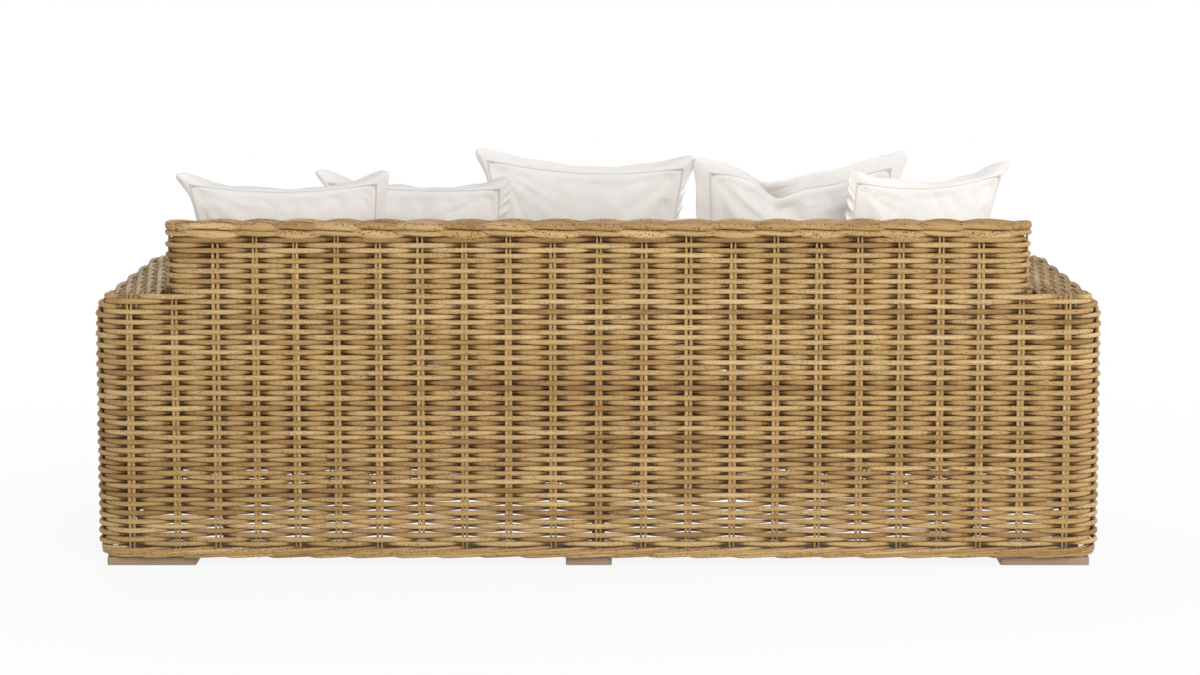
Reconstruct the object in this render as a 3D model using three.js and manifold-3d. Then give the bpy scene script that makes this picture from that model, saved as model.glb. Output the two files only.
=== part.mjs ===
// Rattan garden sofa: a woven skin on an aluminium tube frame, with three seat cushions and
// five loose scatter pillows. Millimetres, +Z up. The origin is on the floor, under the middle
// of the sofa. +X is the sitter's left, and the front of the sofa faces -Y.
import * as THREE from 'three';
import { mergeVertices } from 'three/addons/utils/BufferGeometryUtils.js';
import Module from 'manifold-3d';

const wasm = await Module();
wasm.setup();

// Overall sizes
const sofa_length = 2340;
const sofa_depth = 940;
const back_height = 803;
const arm_height = 643;
const arm_width = 170;
const back_thickness = 110;
const deck_height = 262;

// Woven skin
const weave_thickness = 24;
const plan_corner_radius = 95;
const arm_shoulder_radius = 50;
const arm_front_corner_radius = 50;
const border_height = 29;
const border_thickness = 22;
const border_set_in = 8;
const rim_height = 30;
const rim_edge_radius = 10;

// Weave: courses of cane that pass in front of one pair of stakes and behind the next. The
// stakes stray a little from even places, as they do when they are set by hand.
const stake_line_depth = 16.5;
const weave_wall = 8;
const end_stake_room = 16;
const low_course_pitch = 10.4;
const high_course_pitch = 11.9;
const pitch_change_height = 300;
const pitch_change_run = 40;
const stake_drift = 16;
const stake_drift_span = 820;
const stake_drift_end = 950;
const stake_drift_fade = 160;

// Feet
const foot_length = 207;
const foot_width = 107;
const foot_height = 19;
const foot_set_in = 27;
const foot_edge_radius = 6;
const middle_foot_offset = 22;

// Aluminium frame
const tube_size = 30;
const tube_wall = 2;
const frame_corner_gap = 1;
const back_post_set_in = 85;
const deck_thickness = 12;

// Seat cushions
const cushion_thickness = 148;
const cushion_crown = 16;
const cushion_edge_drop = 10;
const cushion_side_gap = 3;
const cushion_back_gap = 3;
const cushion_front_set_in = 4;
const cushion_corner_inset = 16;

// Scatter pillows
const small_pillow_size = 480;
const medium_pillow_size = 500;
const large_pillow_size = 528;
const pillow_front_crown = 84;
const pillow_back_crown = 42;
const pillow_flange = 26;
const pillow_flange_thickness = 8;
const pillow_gap = 3;
const far_left_pillow_arm_gap = 14;
const far_right_pillow_arm_gap = 4;
const outline_step = 8;
const soft_rest_gap = 0.4;

// Shares and counts
const cushion_pull_share = 0.016;
const pillow_pull_share = 0.075;
const pillow_crown_power_share = 0.62;
const cushion_crown_power = 4;
const cushion_corner_power = 16;
const course_gap_share = 0.1;
const course_swell_share = 0.06;
const stake_count = 64;
const arc_steps = 6;
const corner_bends = 2;
const edge_steps = 3;
const cushion_cells = 10;
const pillow_cells = 10;
const laying_turns = 2;
const settling_turns = 5;

// Places that follow from the sizes above. X and Y are measured from the middle of the sofa.
const half_length = sofa_length / 2;
const half_depth = sofa_depth / 2;
const arm_inner_x = half_length - arm_width;
const back_inner_y = half_depth - back_thickness;
const rear_skin_y = half_depth - weave_thickness;
const corner_start_x = half_length - plan_corner_radius;
const corner_start_y = half_depth - plan_corner_radius;
const skin_bottom_z = foot_height + border_height;
const shoulder_z = arm_height - arm_shoulder_radius;
const rim_bottom_z = back_height - rim_height;
const back_end_radius = back_thickness / 2;
const back_end_x = arm_inner_x - back_end_radius;
const deck_bottom_z = deck_height - deck_thickness;
const weave_relief = weave_thickness - weave_wall;
const stake_corner_radius = plan_corner_radius - stake_line_depth;
const corner_run = stake_corner_radius * Math.PI / 2;
const side_start = corner_start_x + corner_run;
const side_end = side_start + 2 * corner_start_y;
const stake_spacing = 4 * (corner_start_x + corner_start_y + corner_run) / stake_count;
const border_inner_radius = plan_corner_radius - border_set_in - border_thickness;
const frame_corner_room = border_inner_radius * (1 - Math.SQRT1_2) + frame_corner_gap;
const frame_set_in = border_set_in + border_thickness + frame_corner_room;
const frame_x = half_length - frame_set_in;
const frame_y = half_depth - frame_set_in;
const seat_rail_bottom_z = deck_bottom_z - tube_size;
const base_rail_top_z = foot_height + tube_size;
const arm_rail_bottom_z = arm_height - weave_thickness - tube_size;
const back_rail_bottom_z = rim_bottom_z - tube_size;
const cushion_words = ['right', 'middle', 'left'];
const cushion_pitch = 2 * arm_inner_x / cushion_words.length;

// Finishes
function finish(color, roughness, metalness) {
  return new THREE.MeshStandardMaterial({ color, roughness, metalness });
}
const rattan = finish(0xc8a56b, 0.62, 0);
const foot_paint = finish(0xa6907c, 0.55, 0);
const frame_paint = finish(0x8f8274, 0.5, 0.4);
const deck_webbing = finish(0xb59a72, 0.8, 0);
const linen = finish(0xebe8e4, 0.92, 0);

const sofa = new THREE.Group();

function addPart(name, geometry, material) {
  const mesh = new THREE.Mesh(geometry, material);
  mesh.name = name;
  sofa.add(mesh);
  return mesh;
}

// Joins and cuts
function solidOf(geometry) {
  const bare = geometry.clone();
  bare.deleteAttribute('normal');
  bare.deleteAttribute('uv');
  const merged = mergeVertices(bare);
  const vertProperties = new Float32Array(merged.attributes.position.array);
  const triVerts = new Uint32Array(merged.index.array);
  return new wasm.Manifold(new wasm.Mesh({ numProp: 3, vertProperties, triVerts }));
}

function geometryOf(solid) {
  const mesh = solid.getMesh();
  const geometry = new THREE.BufferGeometry();
  geometry.setAttribute('position', new THREE.BufferAttribute(new Float32Array(mesh.vertProperties), 3));
  geometry.setIndex(new THREE.BufferAttribute(new Uint32Array(mesh.triVerts), 1));
  return geometry;
}

// Plain shapes
function block(x0, x1, y0, y1, z0, z1) {
  const geometry = new THREE.BoxGeometry(Math.abs(x1 - x0), Math.abs(y1 - y0), Math.abs(z1 - z0));
  return geometry.translate((x0 + x1) / 2, (y0 + y1) / 2, (z0 + z1) / 2);
}

// An outline from corners of the form [x, y, corner radius].
function roundedOutline(corners) {
  const points = [];
  const count = corners.length;
  corners.forEach(([x, y, radius], i) => {
    const here = new THREE.Vector2(x, y);
    if (radius <= 0) {
      points.push(here);
      return;
    }
    const [before_x, before_y] = corners[(i + count - 1) % count];
    const [after_x, after_y] = corners[(i + 1) % count];
    const in_way = new THREE.Vector2(x - before_x, y - before_y).normalize();
    const out_way = new THREE.Vector2(after_x - x, after_y - y).normalize();
    const start = here.clone().addScaledVector(in_way, -radius);
    const centre = start.clone().addScaledVector(out_way, radius);
    for (let k = 0; k <= arc_steps; k += 1) {
      const turn = (Math.PI / 2) * (k / arc_steps);
      const point = centre.clone();
      point.addScaledVector(out_way, -radius * Math.cos(turn));
      point.addScaledVector(in_way, radius * Math.sin(turn));
      points.push(point);
    }
  });
  return new THREE.Shape(points);
}

function standingPrism(shape, z0, z1) {
  const geometry = new THREE.ExtrudeGeometry(shape, { depth: z1 - z0, bevelEnabled: false });
  return geometry.translate(0, 0, z0);
}

// A shape drawn in X and Z, extruded along Y.
function lyingPrism(shape, y0, y1) {
  const geometry = new THREE.ExtrudeGeometry(shape, { depth: y1 - y0, bevelEnabled: false });
  const turn = new THREE.Matrix4().set(1, 0, 0, 0, 0, 0, -1, 0, 0, 1, 0, 0, 0, 0, 0, 1);
  return geometry.applyMatrix4(turn).translate(0, y1, 0);
}

// A closed form from two grids that meet in a band round the edge. The place function gives the
// point for a stop of each way, and for the layer: the first is one face, the last is the other.
function closedForm(us, vs, layers, place) {
  const positions = [];
  const index = [];
  const push = (point) => {
    positions.push(point.x, point.y, point.z);
    return positions.length / 3 - 1;
  };
  const faces = [layers[0], layers[layers.length - 1]].map((layer) => (
    vs.map((v) => us.map((u) => push(place(u, v, layer))))
  ));
  const last_u = us.length - 1;
  const last_v = vs.length - 1;
  const edge = [];
  for (let i = 0; i < last_u; i += 1) edge.push([i, 0]);
  for (let j = 0; j < last_v; j += 1) edge.push([last_u, j]);
  for (let i = last_u; i > 0; i -= 1) edge.push([i, last_v]);
  for (let j = last_v; j > 0; j -= 1) edge.push([0, j]);
  const rings = layers.map((layer, k) => {
    if (k === 0) return edge.map(([i, j]) => faces[0][j][i]);
    if (k === layers.length - 1) return edge.map(([i, j]) => faces[1][j][i]);
    return edge.map(([i, j]) => push(place(us[i], vs[j], layer)));
  });
  for (let j = 0; j < last_v; j += 1) {
    for (let i = 0; i < last_u; i += 1) {
      const [a, b, c, d] = [faces[0][j][i], faces[0][j][i + 1], faces[0][j + 1][i + 1], faces[0][j + 1][i]];
      index.push(a, c, b, a, d, c);
      const [e, f, g, h] = [faces[1][j][i], faces[1][j][i + 1], faces[1][j + 1][i + 1], faces[1][j + 1][i]];
      index.push(e, f, g, e, g, h);
    }
  }
  for (let k = 0; k < rings.length - 1; k += 1) {
    for (let i = 0; i < edge.length; i += 1) {
      const next = (i + 1) % edge.length;
      index.push(rings[k][i], rings[k][next], rings[k + 1][next]);
      index.push(rings[k][i], rings[k + 1][next], rings[k + 1][i]);
    }
  }
  const geometry = new THREE.BufferGeometry();
  geometry.setAttribute('position', new THREE.Float32BufferAttribute(positions, 3));
  geometry.setIndex(index);
  geometry.computeVertexNormals();
  return geometry;
}

// Where a pair of stakes stands: its distance round the sofa from the middle of the back,
// measured along the line of the stakes and positive towards the sitter's left.
function stakePlace(stake) {
  const even = Math.abs(stake) * stake_spacing;
  const fade_end = stake_drift_end + stake_drift_fade;
  const hold = 1 - THREE.MathUtils.smoothstep(even, stake_drift_end, fade_end);
  return Math.sign(stake) * (even + stake_drift * hold * Math.sin(Math.PI * even / stake_drift_span));
}

// The columns of a woven panel: its two ends, the stakes between them, and the places where the
// skin bends. Each has the count of stakes up to it, with a part for a place between two stakes.
function columnsBetween(from, to, bends) {
  const count = stake_count / 2;
  const places = [from, ...bends, to];
  for (let stake = -count; stake <= count; stake += 1) {
    const place = stakePlace(stake);
    if (place > from + end_stake_room && place < to - end_stake_room) places.push(place);
  }
  return places.sort((a, b) => a - b).map((place) => {
    let stake = -count;
    while (stakePlace(stake + 1) <= place) stake += 1;
    const [before, after] = [stakePlace(stake), stakePlace(stake + 1)];
    return { place, stake: stake + (place - before) / (after - before) };
  });
}

// The lower and upper edge of each course of a woven panel, and how far the edge swells where
// the course passes in front of a stake. The panel's own two ends are straight.
function courseEdgesBetween(z0, z1) {
  const edges = [];
  let low = skin_bottom_z;
  for (let course = 0; low < z1; course += 1) {
    const change_end = pitch_change_height + pitch_change_run;
    const change = THREE.MathUtils.smoothstep(low, pitch_change_height, change_end);
    const pitch = THREE.MathUtils.lerp(low_course_pitch, high_course_pitch, change);
    const gap = pitch * course_gap_share;
    const swell = pitch * course_swell_share;
    if (low + gap > z0 && low + gap < z1 - gap) edges.push({ course, z: low + gap, swell: -swell });
    const high = low + pitch;
    if (high - gap > z0 + gap && high - gap < z1) edges.push({ course, z: high - gap, swell });
    low = high;
  }
  edges[0] = { ...edges[0], z: z0, swell: 0 };
  edges[edges.length - 1] = { ...edges[edges.length - 1], z: z1, swell: 0 };
  return edges;
}

// The point at a distance round the sofa, at a height and at a depth behind the outer face
function skinPoint(distance, z, depth) {
  const side = distance < 0 ? -1 : 1;
  const past = Math.max(0, Math.abs(distance) - corner_start_x);
  const turn = Math.min(past, corner_run) / stake_corner_radius;
  const along = Math.max(0, past - corner_run);
  const reach = plan_corner_radius - depth;
  const x = Math.min(Math.abs(distance), corner_start_x) + reach * Math.sin(turn);
  return new THREE.Vector3(side * x, corner_start_y - along + reach * Math.cos(turn), z);
}

function wovenPanel(from, to, z0, z1, bends = []) {
  const place = (column, edge, layer) => {
    if (layer < 0) return skinPoint(column.place, edge.z, weave_thickness);
    const front = Math.cos(Math.PI * (column.stake + edge.course));
    return skinPoint(column.place, edge.z + edge.swell * front, weave_relief * (1 - front) / 2);
  };
  const columns = columnsBetween(from, to, bends);
  return solidOf(closedForm(columns, courseEdgesBetween(z0, z1), [1, -1], place)).simplify();
}

// Woven arms: the top and the front are cut from a hollow shell, and the other panels stand
// on their own.
function armPlan(side, inset) {
  const outer = half_length - inset;
  const inner = arm_inner_x + inset;
  const rear = half_depth - inset;
  return roundedOutline([
    [side * inner, -rear, arm_front_corner_radius - inset],
    [side * outer, -rear, plan_corner_radius - inset],
    [side * outer, rear, plan_corner_radius - inset],
    [side * inner, rear, 0],
  ]);
}

function armSection(side, inset, bottom_z) {
  const outer = half_length - inset;
  const inner = arm_inner_x + inset;
  const top = arm_height - inset;
  return roundedOutline([
    [side * inner, bottom_z, 0],
    [side * outer, bottom_z, 0],
    [side * outer, top, arm_shoulder_radius - inset],
    [side * inner, top, weave_thickness - inset],
  ]);
}

function armVolume(side, inset, bottom_z) {
  const plan = solidOf(standingPrism(armPlan(side, inset), bottom_z, arm_height));
  const section = solidOf(lyingPrism(armSection(side, inset, bottom_z), -half_depth, half_depth));
  return plan.intersect(section);
}

function addArmWeave(side, word) {
  const body = armVolume(side, 0, skin_bottom_z);
  const hollow = armVolume(side, weave_thickness, skin_bottom_z - weave_thickness);
  const shell = body.subtract(hollow);
  const cut = (x0, x1, y0, y1, z0, z1) => (
    shell.intersect(solidOf(block(side * x0, side * x1, y0, y1, z0, z1)))
  );
  const top = cut(0, sofa_length, -sofa_depth, sofa_depth, shoulder_z, back_height);
  addPart(`arm_top_weave_${word}`, geometryOf(top), rattan);
  const front = cut(0, sofa_length, -sofa_depth, -corner_start_y, skin_bottom_z, shoulder_z);
  const apron_end_x = arm_inner_x + arm_front_corner_radius;
  const apron_room = solidOf(block(0, side * apron_end_x, -sofa_depth, 0, 0, deck_height));
  addPart(`arm_front_weave_${word}`, geometryOf(front.subtract(apron_room)), rattan);
  const bends = [];
  for (let k = 1; k <= corner_bends; k += 1) {
    bends.push(side * (corner_start_x + corner_run * k / (corner_bends + 1)));
  }
  const between = (a, b, turns) => (
    wovenPanel(Math.min(side * a, side * b), Math.max(side * a, side * b), skin_bottom_z, shoulder_z, turns)
  );
  addPart(`back_corner_weave_${word}`, geometryOf(between(corner_start_x, side_start, bends)), rattan);
  addPart(`arm_outer_weave_${word}`, geometryOf(between(side_start, side_end)), rattan);
  const inner_skin_x = arm_inner_x + weave_thickness;
  const inside = block(
    side * arm_inner_x, side * inner_skin_x, -corner_start_y, back_inner_y, deck_bottom_z, shoulder_z,
  );
  addPart(`arm_inner_weave_${word}`, inside, rattan);
}

// Woven back: the lower back, the raised back, its round ends, the inner back and the top rim.
function backStep(low_z, step_z, high_z, wide_x, narrow_x) {
  return roundedOutline([
    [-wide_x, low_z, 0], [wide_x, low_z, 0], [wide_x, step_z, 0], [narrow_x, step_z, 0],
    [narrow_x, high_z, 0], [-narrow_x, high_z, 0], [-narrow_x, step_z, 0], [-wide_x, step_z, 0],
  ]);
}

function addBackWeave() {
  const lower = wovenPanel(-corner_start_x, corner_start_x, skin_bottom_z, shoulder_z);
  addPart('lower_back_weave', geometryOf(lower), rattan);
  let upper = wovenPanel(-arm_inner_x, arm_inner_x, shoulder_z, rim_bottom_z);
  for (const side of [-1, 1]) {
    const beside = block(side * back_end_x, side * half_length, 0, half_depth, arm_height, back_height);
    upper = upper.subtract(solidOf(beside));
  }
  addPart('upper_back_weave', geometryOf(upper), rattan);
  const inner = backStep(deck_height, arm_height, rim_bottom_z, arm_inner_x, back_end_x);
  const inner_back = lyingPrism(inner, back_inner_y, back_inner_y + weave_thickness);
  addPart('inner_back_weave', inner_back, rattan);
}

function addBackEnd(side, word) {
  const mid_y = half_depth - back_end_radius;
  const end = new THREE.Shape();
  const quarter = Math.PI / 2;
  const start = side > 0 ? -quarter : quarter;
  const steps = 2 * arc_steps;
  const points = [];
  for (let k = 0; k <= steps; k += 1) {
    const turn = start + Math.PI * (k / steps);
    const reach = back_end_radius;
    points.push([side * back_end_x + reach * Math.cos(turn), mid_y + reach * Math.sin(turn)]);
  }
  for (let k = steps; k >= 0; k -= 1) {
    const turn = start + Math.PI * (k / steps);
    const reach = back_end_radius - weave_thickness;
    points.push([side * back_end_x + reach * Math.cos(turn), mid_y + reach * Math.sin(turn)]);
  }
  end.setFromPoints(points.map(([x, y]) => new THREE.Vector2(x, y)));
  addPart(`back_end_weave_${word}`, standingPrism(end, arm_height, rim_bottom_z), rattan);
}

// A flat piece with rounded corners and a rounded edge all round its top.
function easedSlab(corners_at, z0, z1, edge_radius) {
  let slab = solidOf(standingPrism(roundedOutline(corners_at(0)), z0, z1 - edge_radius));
  for (let k = 0; k < edge_steps; k += 1) {
    const low_turn = (Math.PI / 2) * (k / edge_steps);
    const high_turn = (Math.PI / 2) * ((k + 1) / edge_steps);
    const low_z = z1 - edge_radius + edge_radius * Math.sin(low_turn);
    const high_z = z1 - edge_radius + edge_radius * Math.sin(high_turn);
    const inset = edge_radius * (1 - Math.cos((low_turn + high_turn) / 2));
    slab = slab.add(solidOf(standingPrism(roundedOutline(corners_at(inset)), low_z, high_z)));
  }
  return geometryOf(slab);
}

function addRim() {
  const corners_at = (inset) => {
    const x = arm_inner_x - inset;
    const radius = back_end_radius - inset;
    const rear = half_depth - inset;
    const front = back_inner_y + inset;
    return [[-x, front, radius], [x, front, radius], [x, rear, radius], [-x, rear, radius]];
  };
  addPart('back_rim', easedSlab(corners_at, rim_bottom_z, back_height, rim_edge_radius), rattan);
}

// Woven front apron, under the seat cushions and between the arms
function addApron() {
  const end_x = arm_inner_x + arm_front_corner_radius;
  const apron = block(-end_x, end_x, -half_depth, -rear_skin_y, skin_bottom_z, deck_height);
  addPart('front_apron_weave', apron, rattan);
}

// Rope border round the foot of the weave: four straight runs and four corners
function addBorder() {
  const outer_x = half_length - border_set_in;
  const outer_y = half_depth - border_set_in;
  const inner_x = outer_x - border_thickness;
  const inner_y = outer_y - border_thickness;
  const z0 = foot_height;
  const z1 = skin_bottom_z;
  const rear = block(-corner_start_x, corner_start_x, inner_y, outer_y, z0, z1);
  addPart('base_border_back', rear, rattan);
  const front = block(-corner_start_x, corner_start_x, -outer_y, -inner_y, z0, z1);
  addPart('base_border_front', front, rattan);
  for (const [side, word] of [[1, 'left'], [-1, 'right']]) {
    const run = block(side * inner_x, side * outer_x, -corner_start_y, corner_start_y, z0, z1);
    addPart(`base_border_${word}`, run, rattan);
    for (const [end, place] of [[1, 'back'], [-1, 'front']]) {
      addPart(`base_border_corner_${place}_${word}`, borderCorner(side, end, z0, z1), rattan);
    }
  }
}

function borderCorner(side, end, z0, z1) {
  const outer_radius = border_inner_radius + border_thickness;
  const points = [];
  for (const [radius, from, to] of [[outer_radius, 0, arc_steps], [border_inner_radius, arc_steps, 0]]) {
    const way = Math.sign(to - from);
    for (let k = from; k !== to + way; k += way) {
      const turn = (Math.PI / 2) * (k / arc_steps);
      const x = side * (corner_start_x + radius * Math.cos(turn));
      const y = end * (corner_start_y + radius * Math.sin(turn));
      points.push(new THREE.Vector2(x, y));
    }
  }
  return standingPrism(new THREE.Shape(points), z0, z1);
}

// Feet: low blocks, long at the corners and turned across in the middle
function footBlock(x0, x1, y0, y1) {
  const radius = foot_edge_radius;
  const outline = roundedOutline([[x0, y0, radius], [x1, y0, radius], [x1, y1, radius], [x0, y1, radius]]);
  return standingPrism(outline, 0, foot_height);
}

function addFeet() {
  const outer_x = half_length - foot_set_in;
  const outer_y = half_depth - foot_set_in;
  for (const [end, place] of [[1, 'back'], [-1, 'front']]) {
    const y_near = end > 0 ? outer_y - foot_width : -outer_y;
    for (const [side, word] of [[1, 'left'], [-1, 'right']]) {
      const x_near = side > 0 ? outer_x - foot_length : -outer_x;
      const corner = footBlock(x_near, x_near + foot_length, y_near, y_near + foot_width);
      addPart(`foot_${place}_${word}`, corner, foot_paint);
    }
    const x_low = middle_foot_offset - foot_width / 2;
    const y_low = end > 0 ? outer_y - foot_length : -outer_y;
    const middle = footBlock(x_low, x_low + foot_width, y_low, y_low + foot_length);
    addPart(`foot_${place}_middle`, middle, foot_paint);
  }
}

// Frame: square tubes, each given by its lowest corner and its length along one axis
function tube(axis, x, y, z, length) {
  const outer = tube_size;
  const wall = tube_wall;
  const shape = roundedOutline([[0, 0, 0], [outer, 0, 0], [outer, outer, 0], [0, outer, 0]]);
  const bore = [[wall, wall], [wall, outer - wall], [outer - wall, outer - wall], [outer - wall, wall]];
  shape.holes.push(new THREE.Path(bore.map(([u, v]) => new THREE.Vector2(u, v))));
  const geometry = new THREE.ExtrudeGeometry(shape, { depth: length, bevelEnabled: false });
  if (axis === 'x') {
    geometry.applyMatrix4(new THREE.Matrix4().set(0, 0, 1, 0, 1, 0, 0, 0, 0, 1, 0, 0, 0, 0, 0, 1));
  }
  if (axis === 'y') {
    geometry.applyMatrix4(new THREE.Matrix4().set(0, 1, 0, 0, 0, 0, 1, 0, 1, 0, 0, 0, 0, 0, 0, 1));
  }
  return geometry.translate(x, y, z);
}

function addBaseRails() {
  const base_z = foot_height;
  const inner_y = frame_y - tube_size;
  addPart('base_rail_back', tube('x', -frame_x, inner_y, base_z, 2 * frame_x), frame_paint);
  addPart('base_rail_front', tube('x', -frame_x, -frame_y, base_z, 2 * frame_x), frame_paint);
  for (const [side, word] of [[1, 'left'], [-1, 'right']]) {
    const x = side > 0 ? frame_x - tube_size : -frame_x;
    addPart(`base_rail_${word}`, tube('y', x, -inner_y, base_z, 2 * inner_y), frame_paint);
  }
}

function addArmFrame(side, word) {
  const x = side > 0 ? frame_x - tube_size : -frame_x;
  const post_length = arm_rail_bottom_z - base_rail_top_z;
  const front_post = tube('z', x, -frame_y, base_rail_top_z, post_length);
  const rear_post = tube('z', x, frame_y - tube_size, base_rail_top_z, post_length);
  addPart(`arm_front_post_${word}`, front_post, frame_paint);
  addPart(`arm_rear_post_${word}`, rear_post, frame_paint);
  const rail = tube('y', x, -frame_y, arm_rail_bottom_z, 2 * frame_y);
  addPart(`arm_rail_${word}`, rail, frame_paint);
}

function addBackFrame() {
  const y = frame_y - tube_size;
  const post_x = back_end_x - back_post_set_in;
  const post_length = back_rail_bottom_z - base_rail_top_z;
  for (const [at, word] of [[post_x, 'left'], [0, 'middle'], [-post_x, 'right']]) {
    const post = tube('z', at - tube_size / 2, y, base_rail_top_z, post_length);
    addPart(`back_post_${word}`, post, frame_paint);
  }
  addPart('back_top_rail', tube('x', -back_end_x, y, back_rail_bottom_z, 2 * back_end_x), frame_paint);
}

function addSeatFrame() {
  const z = seat_rail_bottom_z;
  const front_length = 2 * (frame_x - tube_size);
  const rear_y = frame_y - 2 * tube_size;
  addPart('seat_rail_front', tube('x', -front_length / 2, -frame_y, z, front_length), frame_paint);
  addPart('seat_rail_back', tube('x', -frame_x, rear_y, z, 2 * frame_x), frame_paint);
  const bearer_start_y = tube_size - frame_y;
  for (const [side, word] of [[1, 'left'], [-1, 'right']]) {
    const x = side * cushion_pitch / 2 - tube_size / 2;
    const bearer = tube('y', x, bearer_start_y, z, rear_y - bearer_start_y);
    addPart(`seat_bearer_${word}`, bearer, frame_paint);
  }
  const deck = block(-arm_inner_x, arm_inner_x, -rear_skin_y, back_inner_y, deck_bottom_z, deck_height);
  addPart('seat_deck', deck, deck_webbing);
}

// Seat cushions: boxed, flat below, crowned on top, the sides drawn in between the corners
function cushionStops() {
  const stops = [];
  for (let k = 0; k <= cushion_cells; k += 1) {
    stops.push(Math.sin((Math.PI / 2) * (2 * k / cushion_cells - 1)));
  }
  return stops;
}

function seatCushion(width, depth) {
  const edge_top = cushion_thickness - cushion_edge_drop;
  const place = (u, v, layer) => {
    const pull_u = 1 - cushion_pull_share * (1 - v * v);
    const pull_v = 1 - cushion_pull_share * (1 - u * u);
    const corner_cut = cushion_corner_inset * (u * v) ** cushion_corner_power;
    const inset = corner_cut + cushion_edge_drop * Math.abs(layer);
    const x = u * (width / 2 * pull_u - inset);
    const y = v * (depth / 2 * pull_v - inset);
    if (layer < 0) return new THREE.Vector3(x, y, 0);
    if (layer < 1) return new THREE.Vector3(x, y, edge_top * (layer + 1) / 2);
    const crown = (1 - u ** cushion_crown_power) * (1 - v ** cushion_crown_power);
    const z = edge_top + cushion_edge_drop * Math.sqrt(crown) + cushion_crown * crown;
    return new THREE.Vector3(x, y, z);
  };
  const stops = cushionStops();
  return closedForm(stops, stops, [-1, 0, 1], place);
}

function addSeatCushions() {
  const width = cushion_pitch - 2 * cushion_side_gap;
  const front_y = cushion_front_set_in - half_depth;
  const depth = back_inner_y - cushion_back_gap - front_y;
  return cushion_words.map((word, i) => {
    const x = cushion_pitch * (i + 1 / 2) - arm_inner_x;
    const mesh = addPart(`seat_cushion_${word}`, seatCushion(width, depth), linen);
    mesh.position.set(x, front_y + depth / 2, deck_height + soft_rest_gap);
    mesh.updateMatrixWorld(true);
    return mesh;
  });
}

// Scatter pillows: crowned on both faces, with a flat flange, drawn in at the sides and the top,
// and straight at the foot, where they stand on the seat
function pillowStops(size) {
  const inner = 1 - 2 * pillow_flange / size;
  const stops = [-1];
  for (let k = 0; k <= pillow_cells; k += 1) {
    stops.push(inner * Math.sin((Math.PI / 2) * (2 * k / pillow_cells - 1)));
  }
  stops.push(1);
  return stops;
}

function pillowForm(size) {
  const inner = 1 - 2 * pillow_flange / size;
  const place = (u, v, layer) => {
    const pull_u = 1 - pillow_pull_share * (1 - v * v) * u * u;
    const pull_v = 1 - (v > 0 ? pillow_pull_share * (1 - u * u) * v * v : 0);
    const a = Math.min(1, Math.abs(u) / inner);
    const b = Math.min(1, Math.abs(v) / inner);
    const crown = ((1 - a * a) * (1 - b * b)) ** pillow_crown_power_share;
    const swell = layer > 0 ? pillow_back_crown : pillow_front_crown;
    const y = layer * (pillow_flange_thickness / 2 + swell * crown);
    return new THREE.Vector3(u * size / 2 * pull_u, y, v * size / 2 * pull_v);
  };
  const stops = pillowStops(size);
  return closedForm(stops, stops, [1, -1], place);
}

// Each pillow stands on the seat and leans back, on the rim or on the pillows behind it. It is
// pulled out along the way it leans, so no two of them overlap when they are seen along it.
const pillow_lean = THREE.MathUtils.degToRad(12);
const lean_way = new THREE.Vector3(0, Math.sin(pillow_lean), Math.cos(pillow_lean));

// In the order in which they are laid against the back, with the turns in degrees.
const pillow_places = [
  { word: 'far_left', size: medium_pillow_size, arm_gap: far_left_pillow_arm_gap, turn: 0, roll: 0.3 },
  { word: 'far_right', size: medium_pillow_size, arm_gap: -far_right_pillow_arm_gap, turn: 34, roll: 0 },
  { word: 'left', size: small_pillow_size, x_share: 0.43, turn: -12, roll: -3 },
  { word: 'right', size: large_pillow_size, x_share: -0.474, turn: 12, roll: 0.8 },
  { word: 'middle', size: large_pillow_size, x_share: 0.037, turn: -4, roll: -2.2 },
];

// How far back a point lies when it is seen along the way the pillows lean.
function backwardness(point) {
  return point.y * Math.cos(pillow_lean) - point.z * Math.sin(pillow_lean);
}

function worldPoints(mesh) {
  mesh.updateMatrixWorld(true);
  const at = mesh.geometry.attributes.position;
  const points = [];
  for (let i = 0; i < at.count; i += 1) {
    points.push(new THREE.Vector3().fromBufferAttribute(at, i).applyMatrix4(mesh.matrixWorld));
  }
  return points;
}

// The nearest and farthest reach of a pillow at each step across the sofa.
function leanOutline(mesh) {
  const points = worldPoints(mesh);
  const index = mesh.geometry.index.array;
  const reach = new Map();
  const note = (a, b) => {
    const [low, high] = a.x < b.x ? [a, b] : [b, a];
    const first = Math.ceil(low.x / outline_step);
    for (let k = first; k * outline_step <= high.x; k += 1) {
      const share = high.x > low.x ? (k * outline_step - low.x) / (high.x - low.x) : 0;
      const back = THREE.MathUtils.lerp(backwardness(low), backwardness(high), share);
      const [near, far] = reach.get(k) ?? [back, back];
      reach.set(k, [Math.min(near, back), Math.max(far, back)]);
    }
  };
  for (let i = 0; i < index.length; i += 3) {
    const corner = [points[index[i]], points[index[i + 1]], points[index[i + 2]]];
    note(corner[0], corner[1]);
    note(corner[1], corner[2]);
    note(corner[2], corner[0]);
  }
  return reach;
}

// The points near a pillow's foot, with one between each two that share an edge.
function footPoints(mesh) {
  const points = worldPoints(mesh);
  const lowest = Math.min(...points.map((point) => point.z));
  const index = mesh.geometry.index.array;
  const near_foot = (point) => point.z < lowest + cushion_crown + cushion_edge_drop;
  const found = points.filter(near_foot);
  for (let i = 0; i < index.length; i += 3) {
    for (let k = 0; k < 3; k += 1) {
      const a = points[index[i + k]];
      const b = points[index[i + (k + 1) % 3]];
      if (near_foot(a) && near_foot(b)) found.push(a.clone().lerp(b, 1 / 2));
    }
  }
  return found;
}

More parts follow.
